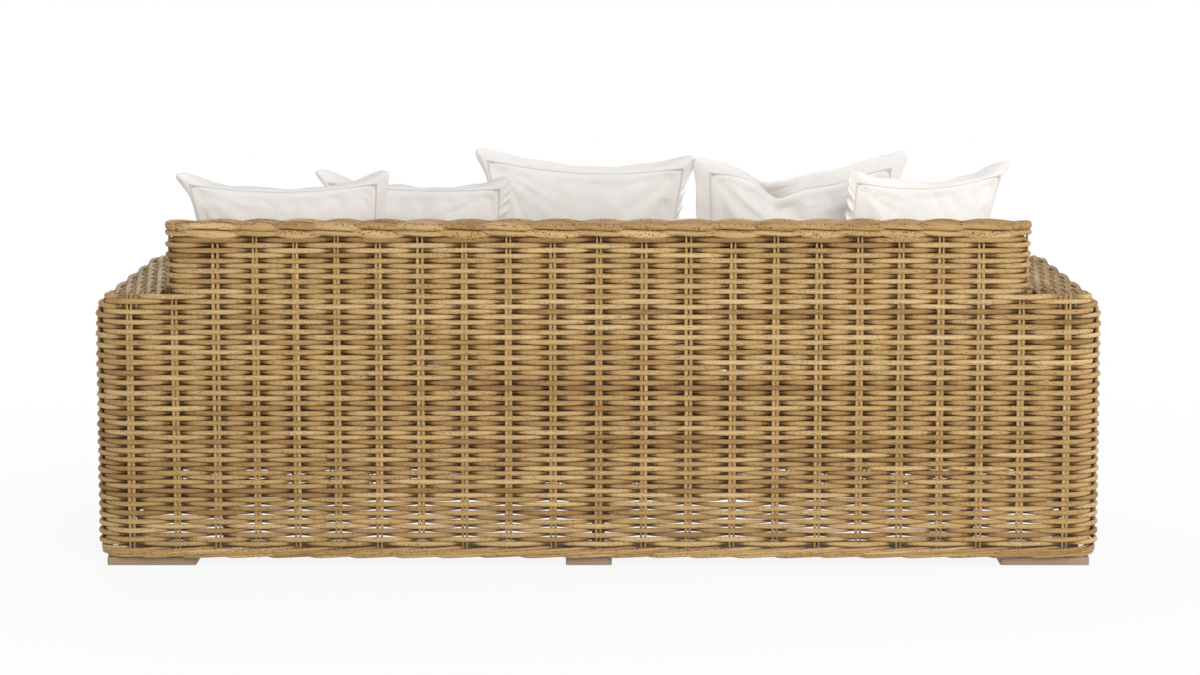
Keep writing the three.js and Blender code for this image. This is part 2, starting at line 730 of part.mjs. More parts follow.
// Lets a pillow down along its lean until it stands on the seat cushions.
function standOnSeat(mesh, cushions) {
  const down = new THREE.Vector3(0, 0, -1);
  const ray = new THREE.Raycaster();
  for (let round = 0; round < settling_turns; round += 1) {
    let least = Infinity;
    for (const point of footPoints(mesh)) {
      ray.set(point.clone().setZ(back_height), down);
      const [hit] = ray.intersectObjects(cushions, false);
      if (hit) least = Math.min(least, point.z - hit.point.z);
    }
    mesh.position.addScaledVector(lean_way, (soft_rest_gap - least) / Math.cos(pillow_lean));
  }
}

function addPillows(cushions) {
  const front_line = new Map();
  const rim_back = backwardness(new THREE.Vector3(0, back_inner_y, back_height));
  const seat_top = deck_height + cushion_thickness + cushion_crown;
  for (const { word, size, arm_gap, x_share, turn, roll } of pillow_places) {
    const mesh = addPart(`pillow_${word}`, pillowForm(size), linen);
    const yaw = THREE.MathUtils.degToRad(turn);
    const tip = THREE.MathUtils.degToRad(roll);
    mesh.rotation.set(-pillow_lean, tip, yaw, 'ZXY');
    mesh.position.set(0, 0, seat_top + size / 2);
    if (arm_gap === undefined) {
      mesh.position.x = x_share * arm_inner_x;
    } else {
      const side = Math.sign(arm_gap);
      const reach = Math.max(...worldPoints(mesh).map((point) => side * point.x));
      mesh.position.x = side * (arm_inner_x - reach) - arm_gap;
    }
    for (let round = 0; round < laying_turns; round += 1) {
      let push = -Infinity;
      for (const [k, [, far]] of leanOutline(mesh)) {
        push = Math.max(push, far - (front_line.get(k) ?? rim_back));
      }
      mesh.position.y -= (push + pillow_gap) / Math.cos(pillow_lean);
      standOnSeat(mesh, cushions);
    }
    for (const [k, [near]] of leanOutline(mesh)) {
      front_line.set(k, Math.min(near, front_line.get(k) ?? rim_back));
    }
  }
}

for (const [side, word] of [[1, 'left'], [-1, 'right']]) {
  addArmWeave(side, word);
  addBackEnd(side, word);
  addArmFrame(side, word);
}
addBackWeave();
addRim();
addApron();
addBorder();
addFeet();
addBaseRails();
addBackFrame();
addSeatFrame();
addPillows(addSeatCushions());

export default sofa;
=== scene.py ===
"""Looks of the rattan garden sofa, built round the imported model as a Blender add-on run as a script.

The woven skin is made of real strands. A weaver passes in front of one pair of stakes and behind the
next, and the course above it does the opposite. Courses run round the back, the arms and the front,
and the stakes of the arms run up the outer side, over the shoulder and down the inner side.
"""
import math
from typing import NamedTuple

import bmesh
import bpy
import numpy as np
from bpy.props import FloatProperty, FloatVectorProperty, IntProperty, PointerProperty
from mathutils import Euler, Matrix, Vector


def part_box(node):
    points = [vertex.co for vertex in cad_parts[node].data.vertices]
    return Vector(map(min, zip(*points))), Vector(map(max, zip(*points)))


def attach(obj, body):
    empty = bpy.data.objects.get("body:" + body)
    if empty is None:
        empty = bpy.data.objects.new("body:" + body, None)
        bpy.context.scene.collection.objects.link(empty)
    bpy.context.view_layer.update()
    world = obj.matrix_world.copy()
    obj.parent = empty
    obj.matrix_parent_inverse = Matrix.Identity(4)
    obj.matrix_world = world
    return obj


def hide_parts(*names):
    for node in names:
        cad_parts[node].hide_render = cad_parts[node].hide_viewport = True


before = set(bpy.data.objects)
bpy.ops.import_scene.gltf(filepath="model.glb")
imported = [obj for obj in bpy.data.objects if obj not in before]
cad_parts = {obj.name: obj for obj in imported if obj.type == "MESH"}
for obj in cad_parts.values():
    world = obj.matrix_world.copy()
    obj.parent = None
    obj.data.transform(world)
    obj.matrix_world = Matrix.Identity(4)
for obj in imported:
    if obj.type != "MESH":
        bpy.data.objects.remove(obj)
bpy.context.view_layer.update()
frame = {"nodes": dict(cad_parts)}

bl_info = {
    "name": "Rattan Garden Sofa",
    "version": (1, 0, 0),
    "blender": (4, 5, 0),
    "location": "3D View > Sidebar > Sofa",
    "description": "Builds the woven skin, cushions, pillows, feet and stage round the sofa's frame",
    "category": "Object",
}

ROOT = "sofa"
SIDES = ((1, "left"), (-1, "right"))
# Pairs of stakes, counted from the middle of the back: where the weave passes on to the arms and
# from there to the front, the arm's rearmost pair, and one past the middle of the front.
SPLIT = 12
FRONT_SPLIT = 21
FIRST_HOOP = 16
FRONT_MIDDLE = 33
# Pairs of stakes in front of the middle of an arm, and as many behind it.
ARM_STAKES = 4
# How the pale and dark canes are spread, and how far apart their grain may start.
TONE_SPREAD = (2.2, 2.2)
RUN_SHIFT = 40
# In metres: the lowest course above the skin's foot, the last one under the rim, and the height
# over which the pitch changes.
FIRST_COURSE = 0.0062
LAST_COURSE = 0.0115
PITCH_FADE = 0.04
# In metres: how uneven the rods are, the length of one section of a rod, how far they run under the
# skin's foot and into the rim, how far they stop short of the arm's top and of the deck, and the
# ribs of a strap.
ROD_WOBBLE = 0.0003
ROD_LEAN = 0.0010
ROD_SECTION = 0.08
STAKE_TUCK = 0.012
RIM_TUCK = 0.004
TOP_TUCK = 0.006
DECK_TUCK = 0.002
RIB_PITCH = 0.0028


def low(node):
    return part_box(node)[0]


def high(node):
    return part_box(node)[1]


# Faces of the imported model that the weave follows, in metres.
HALF_LENGTH = high("arm_outer_weave_left").x
HALF_DEPTH = high("lower_back_weave").y
ARM_INNER = low("arm_inner_weave_left").x
BACK_INNER = low("inner_back_weave").y
CORNER_X = high("lower_back_weave").x
CORNER_Y = high("arm_outer_weave_left").y
SKIN_FOOT = low("lower_back_weave").z
ARM_TOP = high("arm_top_weave_left").z
RIM_FOOT = low("back_rim").z
BACK_TOP = high("back_rim").z
DECK_TOP = high("seat_deck").z
DECK_FOOT = low("seat_deck").z
APRON_END = high("front_apron_weave").x
RAISED_END = low("back_end_weave_left").x


# Settings
def length(name, default, description):
    return FloatProperty(
        name=name, description=description, default=default, min=0.0, precision=4,
        subtype="DISTANCE", unit="LENGTH",
    )


def share(name, default, description):
    return FloatProperty(name=name, description=description, default=default, min=0.0, max=1.0)


def angle(name, degrees, description):
    return FloatProperty(
        name=name, description=description, default=math.radians(degrees), subtype="ANGLE",
        unit="ROTATION",
    )


def count(name, default, description):
    return IntProperty(name=name, description=description, default=default, min=1)


def shade(name, red, green, blue, description):
    """A colour given by its screen values from 0 to 255."""
    def linear(value):
        value /= 255
        return value / 12.92 if value <= 0.04045 else ((value + 0.055) / 1.055) ** 2.4

    return FloatVectorProperty(
        name=name, description=description, subtype="COLOR", size=3, min=0.0, max=1.0,
        default=(linear(red), linear(green), linear(blue)),
    )


class WeaveSettings(bpy.types.PropertyGroup):
    """Sizes of the woven skin."""
    stake_spacing: length("Stake spacing", 0.09833, "Distance between two pairs of stakes")
    stake_drift: length("Stake drift", 0.016, "How far the pairs stray outwards, as laid by hand")
    stake_drift_span: length("Drift span", 0.82, "Distance from the middle where the drift turns")
    rod_radius: length("Rod radius", 0.0045, "Radius of one stake rod")
    rod_offset: length("Rod offset", 0.0045, "Distance of a rod from the middle of its pair")
    rod_lift: length("Rod lift", 0.0024, "How far the rods stand outside the middle of the weave")
    line_depth: length("Stake line", 0.0165, "Depth of the line along which the stakes are spaced")
    depth: length("Weave depth", 0.0123, "Distance from the outer face to the stakes")
    swing: length("Swing", 0.0068, "How far a weaver stands out in front of a stake")
    between: length("Between stakes", 0.0024, "How far a weaver stands out between two stakes")
    dive: length("Dive", 0.0102, "How far a weaver dips in behind a stake")
    dive_power: FloatProperty(name="Dive power", default=3.1,
                              description="Higher values keep the dip closer to the stake")
    shoulder_radius: length("Shoulder radius", 0.064, "Radius of the arms' outer top edge")
    low_pitch: length("Lower course pitch", 0.0104, "Height of a course in the lower part")
    high_pitch: length("Upper course pitch", 0.0119, "Height of a course in the upper part")
    pitch_change: length("Pitch change", 0.300, "Height at which the pitch changes")
    half_tall: length("Half height", 0.0062, "Half the height of a weaver in front of a stake")
    dive_loss: length("Dive loss", 0.0021, "How much less that is behind a stake than between two")
    half_thick: length("Half thickness", 0.0049, "Half the thickness of a weaver")
    stray: length("Stray", 0.0005, "Uneven height of the courses")
    steps: count("Steps", 6, "Sections of a weaver between two stakes")
    sides: count("Sides", 8, "Sides of a weaver's section")


class BorderSettings(bpy.types.PropertyGroup):
    """Sizes of the rope border and of the twined rim."""
    rope_radius: length("Rope strand radius", 0.0042, "Radius of one strand of the base border")
    rope_spans: FloatProperty(name="Spans", default=2.35,
                              description="Stake spaces that one strand of the border runs over")
    rim_upper_even: length("Rim, upper, even", 0.0100,
                           "Half height of the upper strand at even stakes")
    rim_upper_odd: length("Rim, upper, odd", 0.0085, "Half height of the upper strand at odd stakes")
    rim_lower_odd: length("Rim, lower, odd", 0.0108, "Half height of the lower strand at odd stakes")
    rim_lower_even: length("Rim, lower, even", 0.0066,
                           "Half height of the lower strand at even stakes")


class SoftSettings(bpy.types.PropertyGroup):
    """Sizes of the cushions and pillows."""
    cell: length("Cloth cell", 0.014, "Size of one cell of the cloth")
    pressure: FloatProperty(name="Pressure", description="Filling pressure", default=4.0, min=0.0)
    fullness: share("Fullness", 0.030, "How much longer the cloth is cut than the form it covers")
    steps: count("Settling steps", 20, "Frames over which the cloth settles")
    cushion_cap: length("Cushion movement", 0.014, "How far a point of a seat cushion may move")
    pillow_cap: length("Pillow movement", 0.022, "How far a point of a pillow may move")
    piping: length("Piping radius", 0.0032, "Radius of the cushions' piping")
    cushion_drop: length("Cushion edge drop", 0.010, "Height of the rounded edge of a seat cushion")
    cushion_crown: length("Cushion crown", 0.016, "Height of the crown of a seat cushion")
    small: length("Small pillow", 0.480, "Side of the small pillow with its flange")
    medium: length("Medium pillow", 0.500, "Side of the medium pillows with their flange")
    large: length("Large pillow", 0.528, "Side of the large pillows with their flange")
    front_crown: length("Front crown", 0.084, "How far a pillow's front swells")
    back_crown: length("Back crown", 0.042, "How far a pillow's back swells")
    flange: length("Flange", 0.026, "Width of the flat flange round a pillow")
    cloth: length("Flange thickness", 0.0028, "Thickness of the doubled cloth of the flange")
    ripple: length("Ripple", 0.0042, "How far the flange waves")
    lean: angle("Lean", 12, "How far the pillows lean back")


class ColourSettings(bpy.types.PropertyGroup):
    """Colours of the finishes."""
    rattan_light: shade("Rattan light", 208, 177, 127, "Lightest weavers")
    rattan_mid: shade("Rattan middle", 183, 149, 98, "Most weavers")
    rattan_dark: shade("Rattan dark", 146, 110, 67, "Darkest weavers")
    rattan_fleck: shade("Rattan fleck", 74, 44, 20, "Small dark flecks in the skin of the cane")
    linen: shade("Linen", 245, 241, 238, "Cushions and pillows")
    foot: shade("Foot coat", 161, 140, 117, "Powder coat of the feet")
    frame: shade("Frame coat", 143, 130, 116, "Powder coat of the tubes")
    webbing: shade("Webbing", 181, 154, 114, "Seat straps")


class StageSettings(bpy.types.PropertyGroup):
    """Camera, floor and lamps."""
    distance: length("Camera distance", 8.26, "Distance of the camera behind the sofa")
    height: length("Camera height", 1.487, "Height of the camera")
    side: FloatProperty(name="Camera side", description="Sideways place", default=-0.004,
                        subtype="DISTANCE", unit="LENGTH")
    dip: angle("Camera dip", 6.95, "How far the camera looks down")
    lens: FloatProperty(name="Lens", description="Focal length in millimetres", default=102.33)
    key_power: FloatProperty(name="Key lamp", description="Power in watts", default=215.0)
    fill_power: FloatProperty(name="Fill lamp", description="Power in watts", default=62.0)
    sky: share("Sky", 0.21, "Strength of the plain sky light overhead")
    sky_rim: share("Sky rim", 0.60, "What is added to that at the horizon")
    floor_glow: share("Floor glow", 0.90, "Share of the floor that the camera sees as plain white")


def smooth_step(x):
    x = np.clip(x, 0.0, 1.0)
    return x * x * (3 - 2 * x)


def vectors(x, y, z):
    return np.stack(np.broadcast_arrays(x, y, z), axis=-1).astype(float)


def run_along(path):
    """The length of a path of points up to each of them."""
    return np.concatenate(([0.0], np.cumsum(np.linalg.norm(np.diff(path, axis=0), axis=1))))


def new_object(name, data):
    piece = bpy.data.objects.new(name, data)
    bpy.context.scene.collection.objects.link(piece)
    return piece


def new_piece(name, points, faces, material, notes):
    """A mesh object. faces is a list of arrays, one array for each number of corners, the first one
    smooth and the rest flat. notes are the attributes of the points."""
    mesh = bpy.data.meshes.new(name)
    mesh.vertices.add(len(points))
    mesh.vertices.foreach_set("co", np.asarray(points, np.float32).ravel())
    corners = np.concatenate([some.ravel() for some in faces]).astype(np.int32)
    sizes = np.concatenate([np.full(len(some), some.shape[1]) for some in faces]).astype(np.int32)
    mesh.loops.add(len(corners))
    mesh.loops.foreach_set("vertex_index", corners)
    mesh.polygons.add(len(sizes))
    mesh.polygons.foreach_set("loop_start", (np.cumsum(sizes) - sizes).astype(np.int32))
    mesh.polygons.foreach_set("loop_total", sizes)
    mesh.polygons.foreach_set("use_smooth", np.arange(len(sizes)) < len(faces[0]))
    mesh.update(calc_edges=True)
    for label, values in notes.items():
        kind, key = ("FLOAT_VECTOR", "vector") if values.ndim > 1 else ("FLOAT", "value")
        note = mesh.attributes.new(label, kind, "POINT")
        note.data.foreach_set(key, values.astype(np.float32).ravel())
    mesh.materials.append(material)
    return new_object(name, mesh)


def place(piece, body, slot_name, *nodes):
    """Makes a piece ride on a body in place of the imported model's own nodes."""
    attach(piece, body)
    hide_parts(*nodes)


# Strands
class Strands:
    """Closed tubes gathered as one mesh. Each point keeps its place along its strand, round it, and
    the strand's tone, for the material. A tone lowered below 0 is painted shade."""

    MAP_MARGIN = 0.04
    END_SPOT = 0.2

    def __init__(self):
        self.points, self.quads, self.caps, self.notes, self.maps = [], [], [], [], []
        self.total = 0

    def add(self, centre, out, up, thick, tall, tone, sides=8, square=1.0, start=0.0, taper=0.35):
        """One tube. thick and tall are its half sizes along out and up, and square below 1 makes its
        section boxier. taper is what is left of them at the ends."""
        n = len(centre)
        ends = np.ones(n)
        ends[[0, -1]] = taper
        out, up = (np.broadcast_to(np.asarray(way, float), (n, 3)) for way in (out, up))
        turn = np.arange(sides) / sides * 2 * math.pi + math.pi
        across, along_up = (np.sign(w) * np.abs(w) ** square for w in (np.cos(turn), np.sin(turn)))
        ring = (centre[:, None, :] + out[:, None, :] * np.outer(thick * ends, across)[:, :, None]
                + up[:, None, :] * np.outer(tall * ends, along_up)[:, :, None])
        run = run_along(centre)
        tone = np.broadcast_to(tone, n)
        note = vectors((run + start)[:, None], np.arange(sides) / sides, tone[:, None])
        here = self.total + np.arange(n * sides).reshape(n, sides)
        beside = np.roll(here, -1, axis=1)
        quads = np.stack([here[:-1], here[1:], beside[1:], beside[:-1]], axis=-1).reshape(-1, 4)
        share_along, share_round = run / max(run[-1], 1e-9), np.arange(sides + 1) / sides
        spot = np.stack(np.meshgrid(share_along, share_round, indexing="ij"), axis=-1)
        corners = np.stack([spot[:-1, :-1], spot[1:, :-1], spot[1:, 1:], spot[:-1, 1:]], axis=-2)
        self.points.append(ring.reshape(-1, 3))
        self.notes.append(note.reshape(-1, 3))
        self.quads.append(quads)
        self.caps.append(np.stack([here[0], here[-1][::-1]]))
        self.maps.append(corners.reshape(-1, 2))
        self.total += n * sides

    def build(self, name, material):
        """The mesh object. Each strand has a row of its own on the map for baking."""
        caps = np.concatenate(self.caps)
        rows, sides = len(self.maps), caps.shape[1]
        inner = 1 - 2 * self.MAP_MARGIN
        for row, corners in enumerate(self.maps):
            corners[:, 1] = (row + self.MAP_MARGIN + inner * corners[:, 1]) / rows
        turn = np.arange(sides) / sides * 2 * math.pi
        spot = np.stack([np.cos(turn), np.sin(turn)], axis=-1) * self.END_SPOT / rows
        ends = [spot + ((0.001, 0.999)[k % 2], (k // 2 + 0.5) / rows) for k in range(len(caps))]
        piece = new_piece(name, np.concatenate(self.points), [np.concatenate(self.quads), caps],
                          material, {"strand": np.concatenate(self.notes)})
        layer = piece.data.uv_layers.new(name="OFBake", do_init=False)
        laid = np.concatenate(self.maps + [np.clip(np.concatenate(ends), 0.0, 1.0)])
        layer.uv.foreach_set("vector", laid.astype(np.float32).ravel())
        piece.data.validate()
        return piece


# The plan that the courses follow
class Plan:
    """The middle surface of the woven skin, where the stakes stand. A place on it is given by the
    distance s along the course from the middle of the back, positive towards the sitter's left,
    and by the level, the height measured along the skin."""

    DRIFT_END = (0.95, 0.16)

    def __init__(self, weave):
        depth = weave.depth
        self.weave = weave
        self.line = HALF_LENGTH - CORNER_X - weave.line_depth
        self.corner = HALF_LENGTH - CORNER_X - depth
        self.shoulder = ARM_TOP - weave.shoulder_radius
        self.bend = weave.shoulder_radius - depth
        self.shoulder_x = HALF_LENGTH - depth - self.bend
        self.inner_bend = APRON_END - ARM_INNER - depth
        self.quarter = self.line * math.pi / 2
        self.side_start = CORNER_X + self.quarter
        self.side_end = self.side_start + 2 * CORNER_Y
        self.front_start = self.side_end + self.quarter
        self.inner_start = self.front_start + CORNER_X - APRON_END
        self.inner_side = self.inner_start + self.inner_bend * math.pi / 2
        self.inner_end = self.inner_side + BACK_INNER + depth + HALF_DEPTH - depth - self.inner_bend
        self.back_y = HALF_DEPTH - depth
        self.inner_x = ARM_INNER + depth
        self.inner_y = BACK_INNER + depth
        self.top_z = ARM_TOP - depth

    def at(self, s, level, inward=False):
        """Points, outward directions and upward directions. With inward the course turns round the
        inner corner of the arm and runs back along the arm's inner side."""
        side = np.where(s < 0, -1.0, 1.0)
        a = np.abs(s)
        first = np.clip((a - CORNER_X) / self.line, 0, math.pi / 2)
        second = np.clip((a - self.side_end) / self.line, 0, math.pi / 2)
        turn = first + second
        weight = smooth_step(first / (math.pi / 2)) * (1 - smooth_step(second / (math.pi / 2)))
        tilt_full = max(0.0, level - self.shoulder) / self.bend
        tilt = tilt_full * weight
        reach = self.corner - self.bend + self.bend * np.cos(tilt)
        if tilt_full > 0:
            z = self.shoulder + self.bend * ((1 - weight) * tilt_full + weight * math.sin(tilt_full))
        else:
            z = np.full_like(a, level)
        middle_x = np.clip(a, 0, CORNER_X) - np.clip(a - self.front_start, 0, None)
        middle_y = CORNER_Y - np.clip(a - self.side_start, 0, 2 * CORNER_Y)
        out_x, out_y = np.sin(turn), np.cos(turn)
        x = middle_x + reach * out_x
        y = middle_y + reach * out_y
        if inward:
            third = np.clip((a - self.inner_start) / self.inner_bend, 0, math.pi / 2)
            past = a > self.inner_start
            along = np.clip(a - self.inner_side, 0, None)
            x = np.where(past, APRON_END - self.inner_bend * np.sin(third), x)
            bend_y = self.inner_bend - self.back_y
            y = np.where(past, bend_y - self.inner_bend * np.cos(third) + along, y)
            out_x = np.where(past, -np.sin(third), out_x)
            out_y = np.where(past, -np.cos(third), out_y)
        out = vectors(side * out_x * np.cos(tilt), out_y * np.cos(tilt), np.sin(tilt))
        up = vectors(-side * out_x * np.sin(tilt), -out_y * np.sin(tilt), np.cos(tilt))
        return vectors(side * x, y, z), out, up

    def stake_s(self, number):
        """Where a pair of stakes stands along the course, counted from the middle of the back."""
        weave = self.weave
        s = np.abs(number) * weave.stake_spacing
        drift = weave.stake_drift * np.sin(math.pi * s / weave.stake_drift_span)
        drift_end, fade = self.DRIFT_END
        return np.sign(number) * (s + drift * (1 - smooth_step((s - drift_end) / fade)))


class Course:
    """One course of the weave: its uneven height, fatness and tone at each pair of stakes."""

    FIRST, COUNT = -64, 192
    FRESH_SHARE = 0.16
    SWAY_SHARE = 0.7
    FAT_SPREAD = 0.045
    TONE_STRAY = 0.03
    BULGE = 0.0003

    def __init__(self, weave, row, seed=11):
        rng = np.random.default_rng((seed, row))
        self.weave = weave
        self.row = row
        self.lift = rng.normal(0, weave.stray, self.COUNT)
        self.sway = rng.normal(0, weave.stray * self.SWAY_SHARE, self.COUNT)
        self.fat = 1 + rng.normal(0, self.FAT_SPREAD, self.COUNT)
        tone = rng.beta(*TONE_SPREAD, self.COUNT)
        fresh = rng.random(self.COUNT) < self.FRESH_SHARE
        fresh[0] = True
        source = np.maximum.accumulate(np.where(fresh, np.arange(self.COUNT), 0))
        self.tone = np.clip(tone[source] + rng.normal(0, self.TONE_STRAY, self.COUNT), 0, 1)
        self.shift = rng.random() * RUN_SHIFT

    def at_stake(self, values, number):
        where = np.clip(number - self.FIRST, 0, self.COUNT - 1.001)
        base = np.floor(where).astype(int)
        part = smooth_step(where - base)
        return values[base] * (1 - part) + values[base + 1] * part

    def depth_at(self, number):
        """The wave, 1 in front of a stake and -1 behind it, and how far out the weaver stands."""
        weave = self.weave
        wave = np.cos(math.pi * (number + self.row))
        crest = smooth_step(np.maximum(wave, 0.0))
        dive = np.maximum(-wave, 0.0) ** weave.dive_power
        between = weave.between
        return wave, between + (weave.swing - between) * crest - (between + weave.dive) * dive

    def tone_at(self, number, parity):
        """The tone of the cane that shows in front of the nearest stake."""
        crest = (2 * np.round((number + parity) / 2) - parity - self.FIRST).astype(int)
        return self.tone[np.clip(crest, 0, self.COUNT - 1)]

    def tall_at(self, wave, pitch):
        """Half the weaver's height, for the pitch of its course."""
        weave = self.weave
        middle = pitch / 2
        return (middle + (weave.half_tall - middle) * smooth_step(np.maximum(wave, 0.0))
                - weave.dive_loss * np.maximum(-wave, 0.0) ** 2)

    def lay(self, strands, number, centre, out, up, pitch=None, dive_share=1.0):
        """Adds the course along a path. number is the stake count at each point, whole at a stake."""
        weave = self.weave
        out, up = np.asarray(out, float), np.asarray(up, float)
        wave, depth = self.depth_at(number)
        fat, sway, lift = (self.at_stake(values, number)
                           for values in (self.fat, self.sway, self.lift))
        tall = self.tall_at(wave, pitch or weave.high_pitch) * fat
        thick = (weave.half_thick + self.BULGE * wave) * fat
        depth = np.where(depth < 0, depth * dive_share, depth)
        centre = centre + out * (depth + sway)[:, None] + up * lift[:, None]
        # Behind a stake the tone is lowered: painted shade, which the cane material turns darker.
        tone = self.tone_at(number, self.row) - dive_share * painted_shade_share(wave)
        strands.add(centre, out, up, thick, tall, tone, weave.sides, start=self.shift)


def painted_shade_share(wave):
    """How much painted shade a weaver gets where it lies behind a stake."""
    return smooth_step((-wave - 0.35) / 0.6)


def stations(stake_places, first, steps, before=0.0, after=0.0):
    """Places between stakes and the stake count at each, with the run before the first stake and
    after the last one."""
    places = np.asarray(stake_places, float)
    numbers = first + np.arange(len(places), dtype=float)
    number = np.concatenate([k + np.arange(steps) / steps for k in numbers[:-1]] + [numbers[-1:]])
    where = np.interp(number, numbers, places)
    ends = []
    for end, way, gap, room in ((0, -1, places[1] - places[0], before),
                                (-1, 1, places[-1] - places[-2], after)):
        extra = np.arange(1, math.ceil(room / gap * steps) + 1) / steps
        extra = way * np.minimum(extra, room / gap)
        ends.append((places[end] + extra * gap, numbers[end] + extra))
    (where_before, number_before), (where_after, number_after) = ends
    return (np.concatenate([where_before[::-1], where, where_after]),
            np.concatenate([number_before[::-1], number, number_after]))


def add_rod(strands, path, side_way, out, radius, tone, seed):
    """A stake rod along a path of points."""
    rng = np.random.default_rng((5, seed))
    wobble = rng.normal(0, ROD_WOBBLE, (len(path), 1))
    side = np.broadcast_to(np.asarray(side_way, float), path.shape)
    strands.add(path + side * wobble, out, side, radius, radius, tone, start=rng.random() * RUN_SHIFT)


def add_straight_stake(strands, weave, foot, way, out, z0, z1, seed):
    """A pair of upright rods, side by side along way."""
    rng = np.random.default_rng((7, seed))
    spread = weave.rod_offset * (1 + 0.12 * rng.random())
    heights = np.linspace(z0, z1, max(3, int((z1 - z0) / ROD_SECTION) + 1))
    for k in (-1, 1):
        lean = rng.normal(0, ROD_LEAN)
        x, y = (foot[i] + way[i] * (k * spread + lean * (heights - z0) / (z1 - z0))
                + out[i] * weave.rod_lift for i in (0, 1))
        add_rod(strands, vectors(x, y, heights), way, out, weave.rod_radius, 0.3 + 0.5 * rng.random(),
                seed * 2 + k + 1)


def pitch_at(weave, level):
    change = smooth_step((level - weave.pitch_change) / PITCH_FADE)
    return weave.low_pitch + (weave.high_pitch - weave.low_pitch) * change


def skin_levels(weave):
    """Heights of all courses, from the foot up, spread so that the last one lies against the rim."""
    levels = []
    level, last = SKIN_FOOT + FIRST_COURSE, RIM_FOOT - LAST_COURSE
    while level < last:
        levels.append(level)
        level += pitch_at(weave, level)
    missing = last - levels[-1] - weave.high_pitch
    spread = []
    for level in levels:
        share_up = smooth_step((level - weave.pitch_change) / (levels[-1] - weave.pitch_change))
        spread.append(float(level + missing * share_up))
    return spread + [last]


def ring_rows(weave):
    """(row, level) of the courses that run round the arms."""
    top = ARM_TOP - weave.half_tall
    return [(row, level) for row, level in enumerate(skin_levels(weave)) if level < top]


# Materials
WHITE = (1, 1, 1, 1)
BLACK = (0, 0, 0, 1)


class Term:
    """A value in a node tree. Sums, differences and products of terms become math nodes."""

    def __init__(self, socket):
        self.socket = socket
        self.tree = socket.id_data

    def __add__(self, other):
        return maths("ADD", self, other)

    def __sub__(self, other):
        return maths("SUBTRACT", self, other)

    def __rsub__(self, other):
        return maths("SUBTRACT", other, self)

    def __mul__(self, other):
        return maths("MULTIPLY", self, other)

    def clamped(self):
        self.socket.node.use_clamp = True
        return self


def node(tree, kind, inputs=None, **values):
    """Adds a node. Each input is a term or a socket to wire, or a plain value."""
    made = tree.nodes.new(kind)
    for key, value in values.items():
        setattr(made, key, value)
    for key, value in (inputs or {}).items():
        value = getattr(value, "socket", value)
        if isinstance(value, bpy.types.NodeSocket):
            tree.links.new(value, made.inputs[key])
        else:
            made.inputs[key].default_value = value
    return made


def maths(operation, first, second=0.0):
    tree = getattr(first, "tree", None) or second.tree
    return Term(node(tree, "ShaderNodeMath", {0: first, 1: second}, operation=operation).outputs[0])


def ramp(value, low_value, high_value, to_low=0.0, to_high=1.0):
    inputs = {"Value": value, "From Min": low_value, "From Max": high_value, "To Min": to_low,
              "To Max": to_high}
    made = node(value.tree, "ShaderNodeMapRange", inputs, interpolation_type="SMOOTHSTEP")
    return Term(made.outputs["Result"])


def mix(share_value, first, second, blend="MIX"):
    inputs = {0: share_value, 6: first, 7: second}
    mixed = node(first.tree, "ShaderNodeMix", inputs, data_type="RGBA", blend_type=blend)
    return Term(mixed.outputs[2])


def noise(vector, scale, detail=2.0, rough=0.5):
    inputs = {"Vector": vector, "Scale": scale, "Detail": detail, "Roughness": rough}
    return Term(node(vector.tree, "ShaderNodeTexNoise", inputs).outputs["Fac"])


def joined(x, y, z):
    return Term(node(x.tree, "ShaderNodeCombineXYZ", {"X": x, "Y": y, "Z": z}).outputs[0])


class Group:
    """A node group that gives a colour, a roughness and the height of a relief."""

    OUTPUTS = (("Color", "NodeSocketColor"), ("Roughness", "NodeSocketFloat"),
               ("Height", "NodeSocketFloat"))

    def __init__(self, name, **inputs):
        self.tree = bpy.data.node_groups.new(name, "ShaderNodeTree")
        new_socket = self.tree.interface.new_socket
        for label, value in inputs.items():
            kind = "NodeSocketFloat" if isinstance(value, float) else "NodeSocketColor"
            new_socket(name=label, in_out="INPUT", socket_type=kind).default_value = value
        for label, kind in self.OUTPUTS:
            new_socket(name=label, in_out="OUTPUT", socket_type=kind)
        self.entry = self.tree.nodes.new("NodeGroupInput")

    def __getitem__(self, label):
        return Term(self.entry.outputs[label])

    def note(self, name, output="Vector"):
        made = node(self.tree, "ShaderNodeAttribute", attribute_name=name, attribute_type="GEOMETRY")
        return Term(made.outputs[output])

    def noted(self, name):
        parts = node(self.tree, "ShaderNodeSeparateXYZ", {0: self.note(name)})
        return [Term(socket) for socket in parts.outputs]

    def finish(self, *terms):
        node(self.tree, "NodeGroupOutput",
             {label: term for (label, _), term in zip(self.OUTPUTS, terms)})
        return self.tree


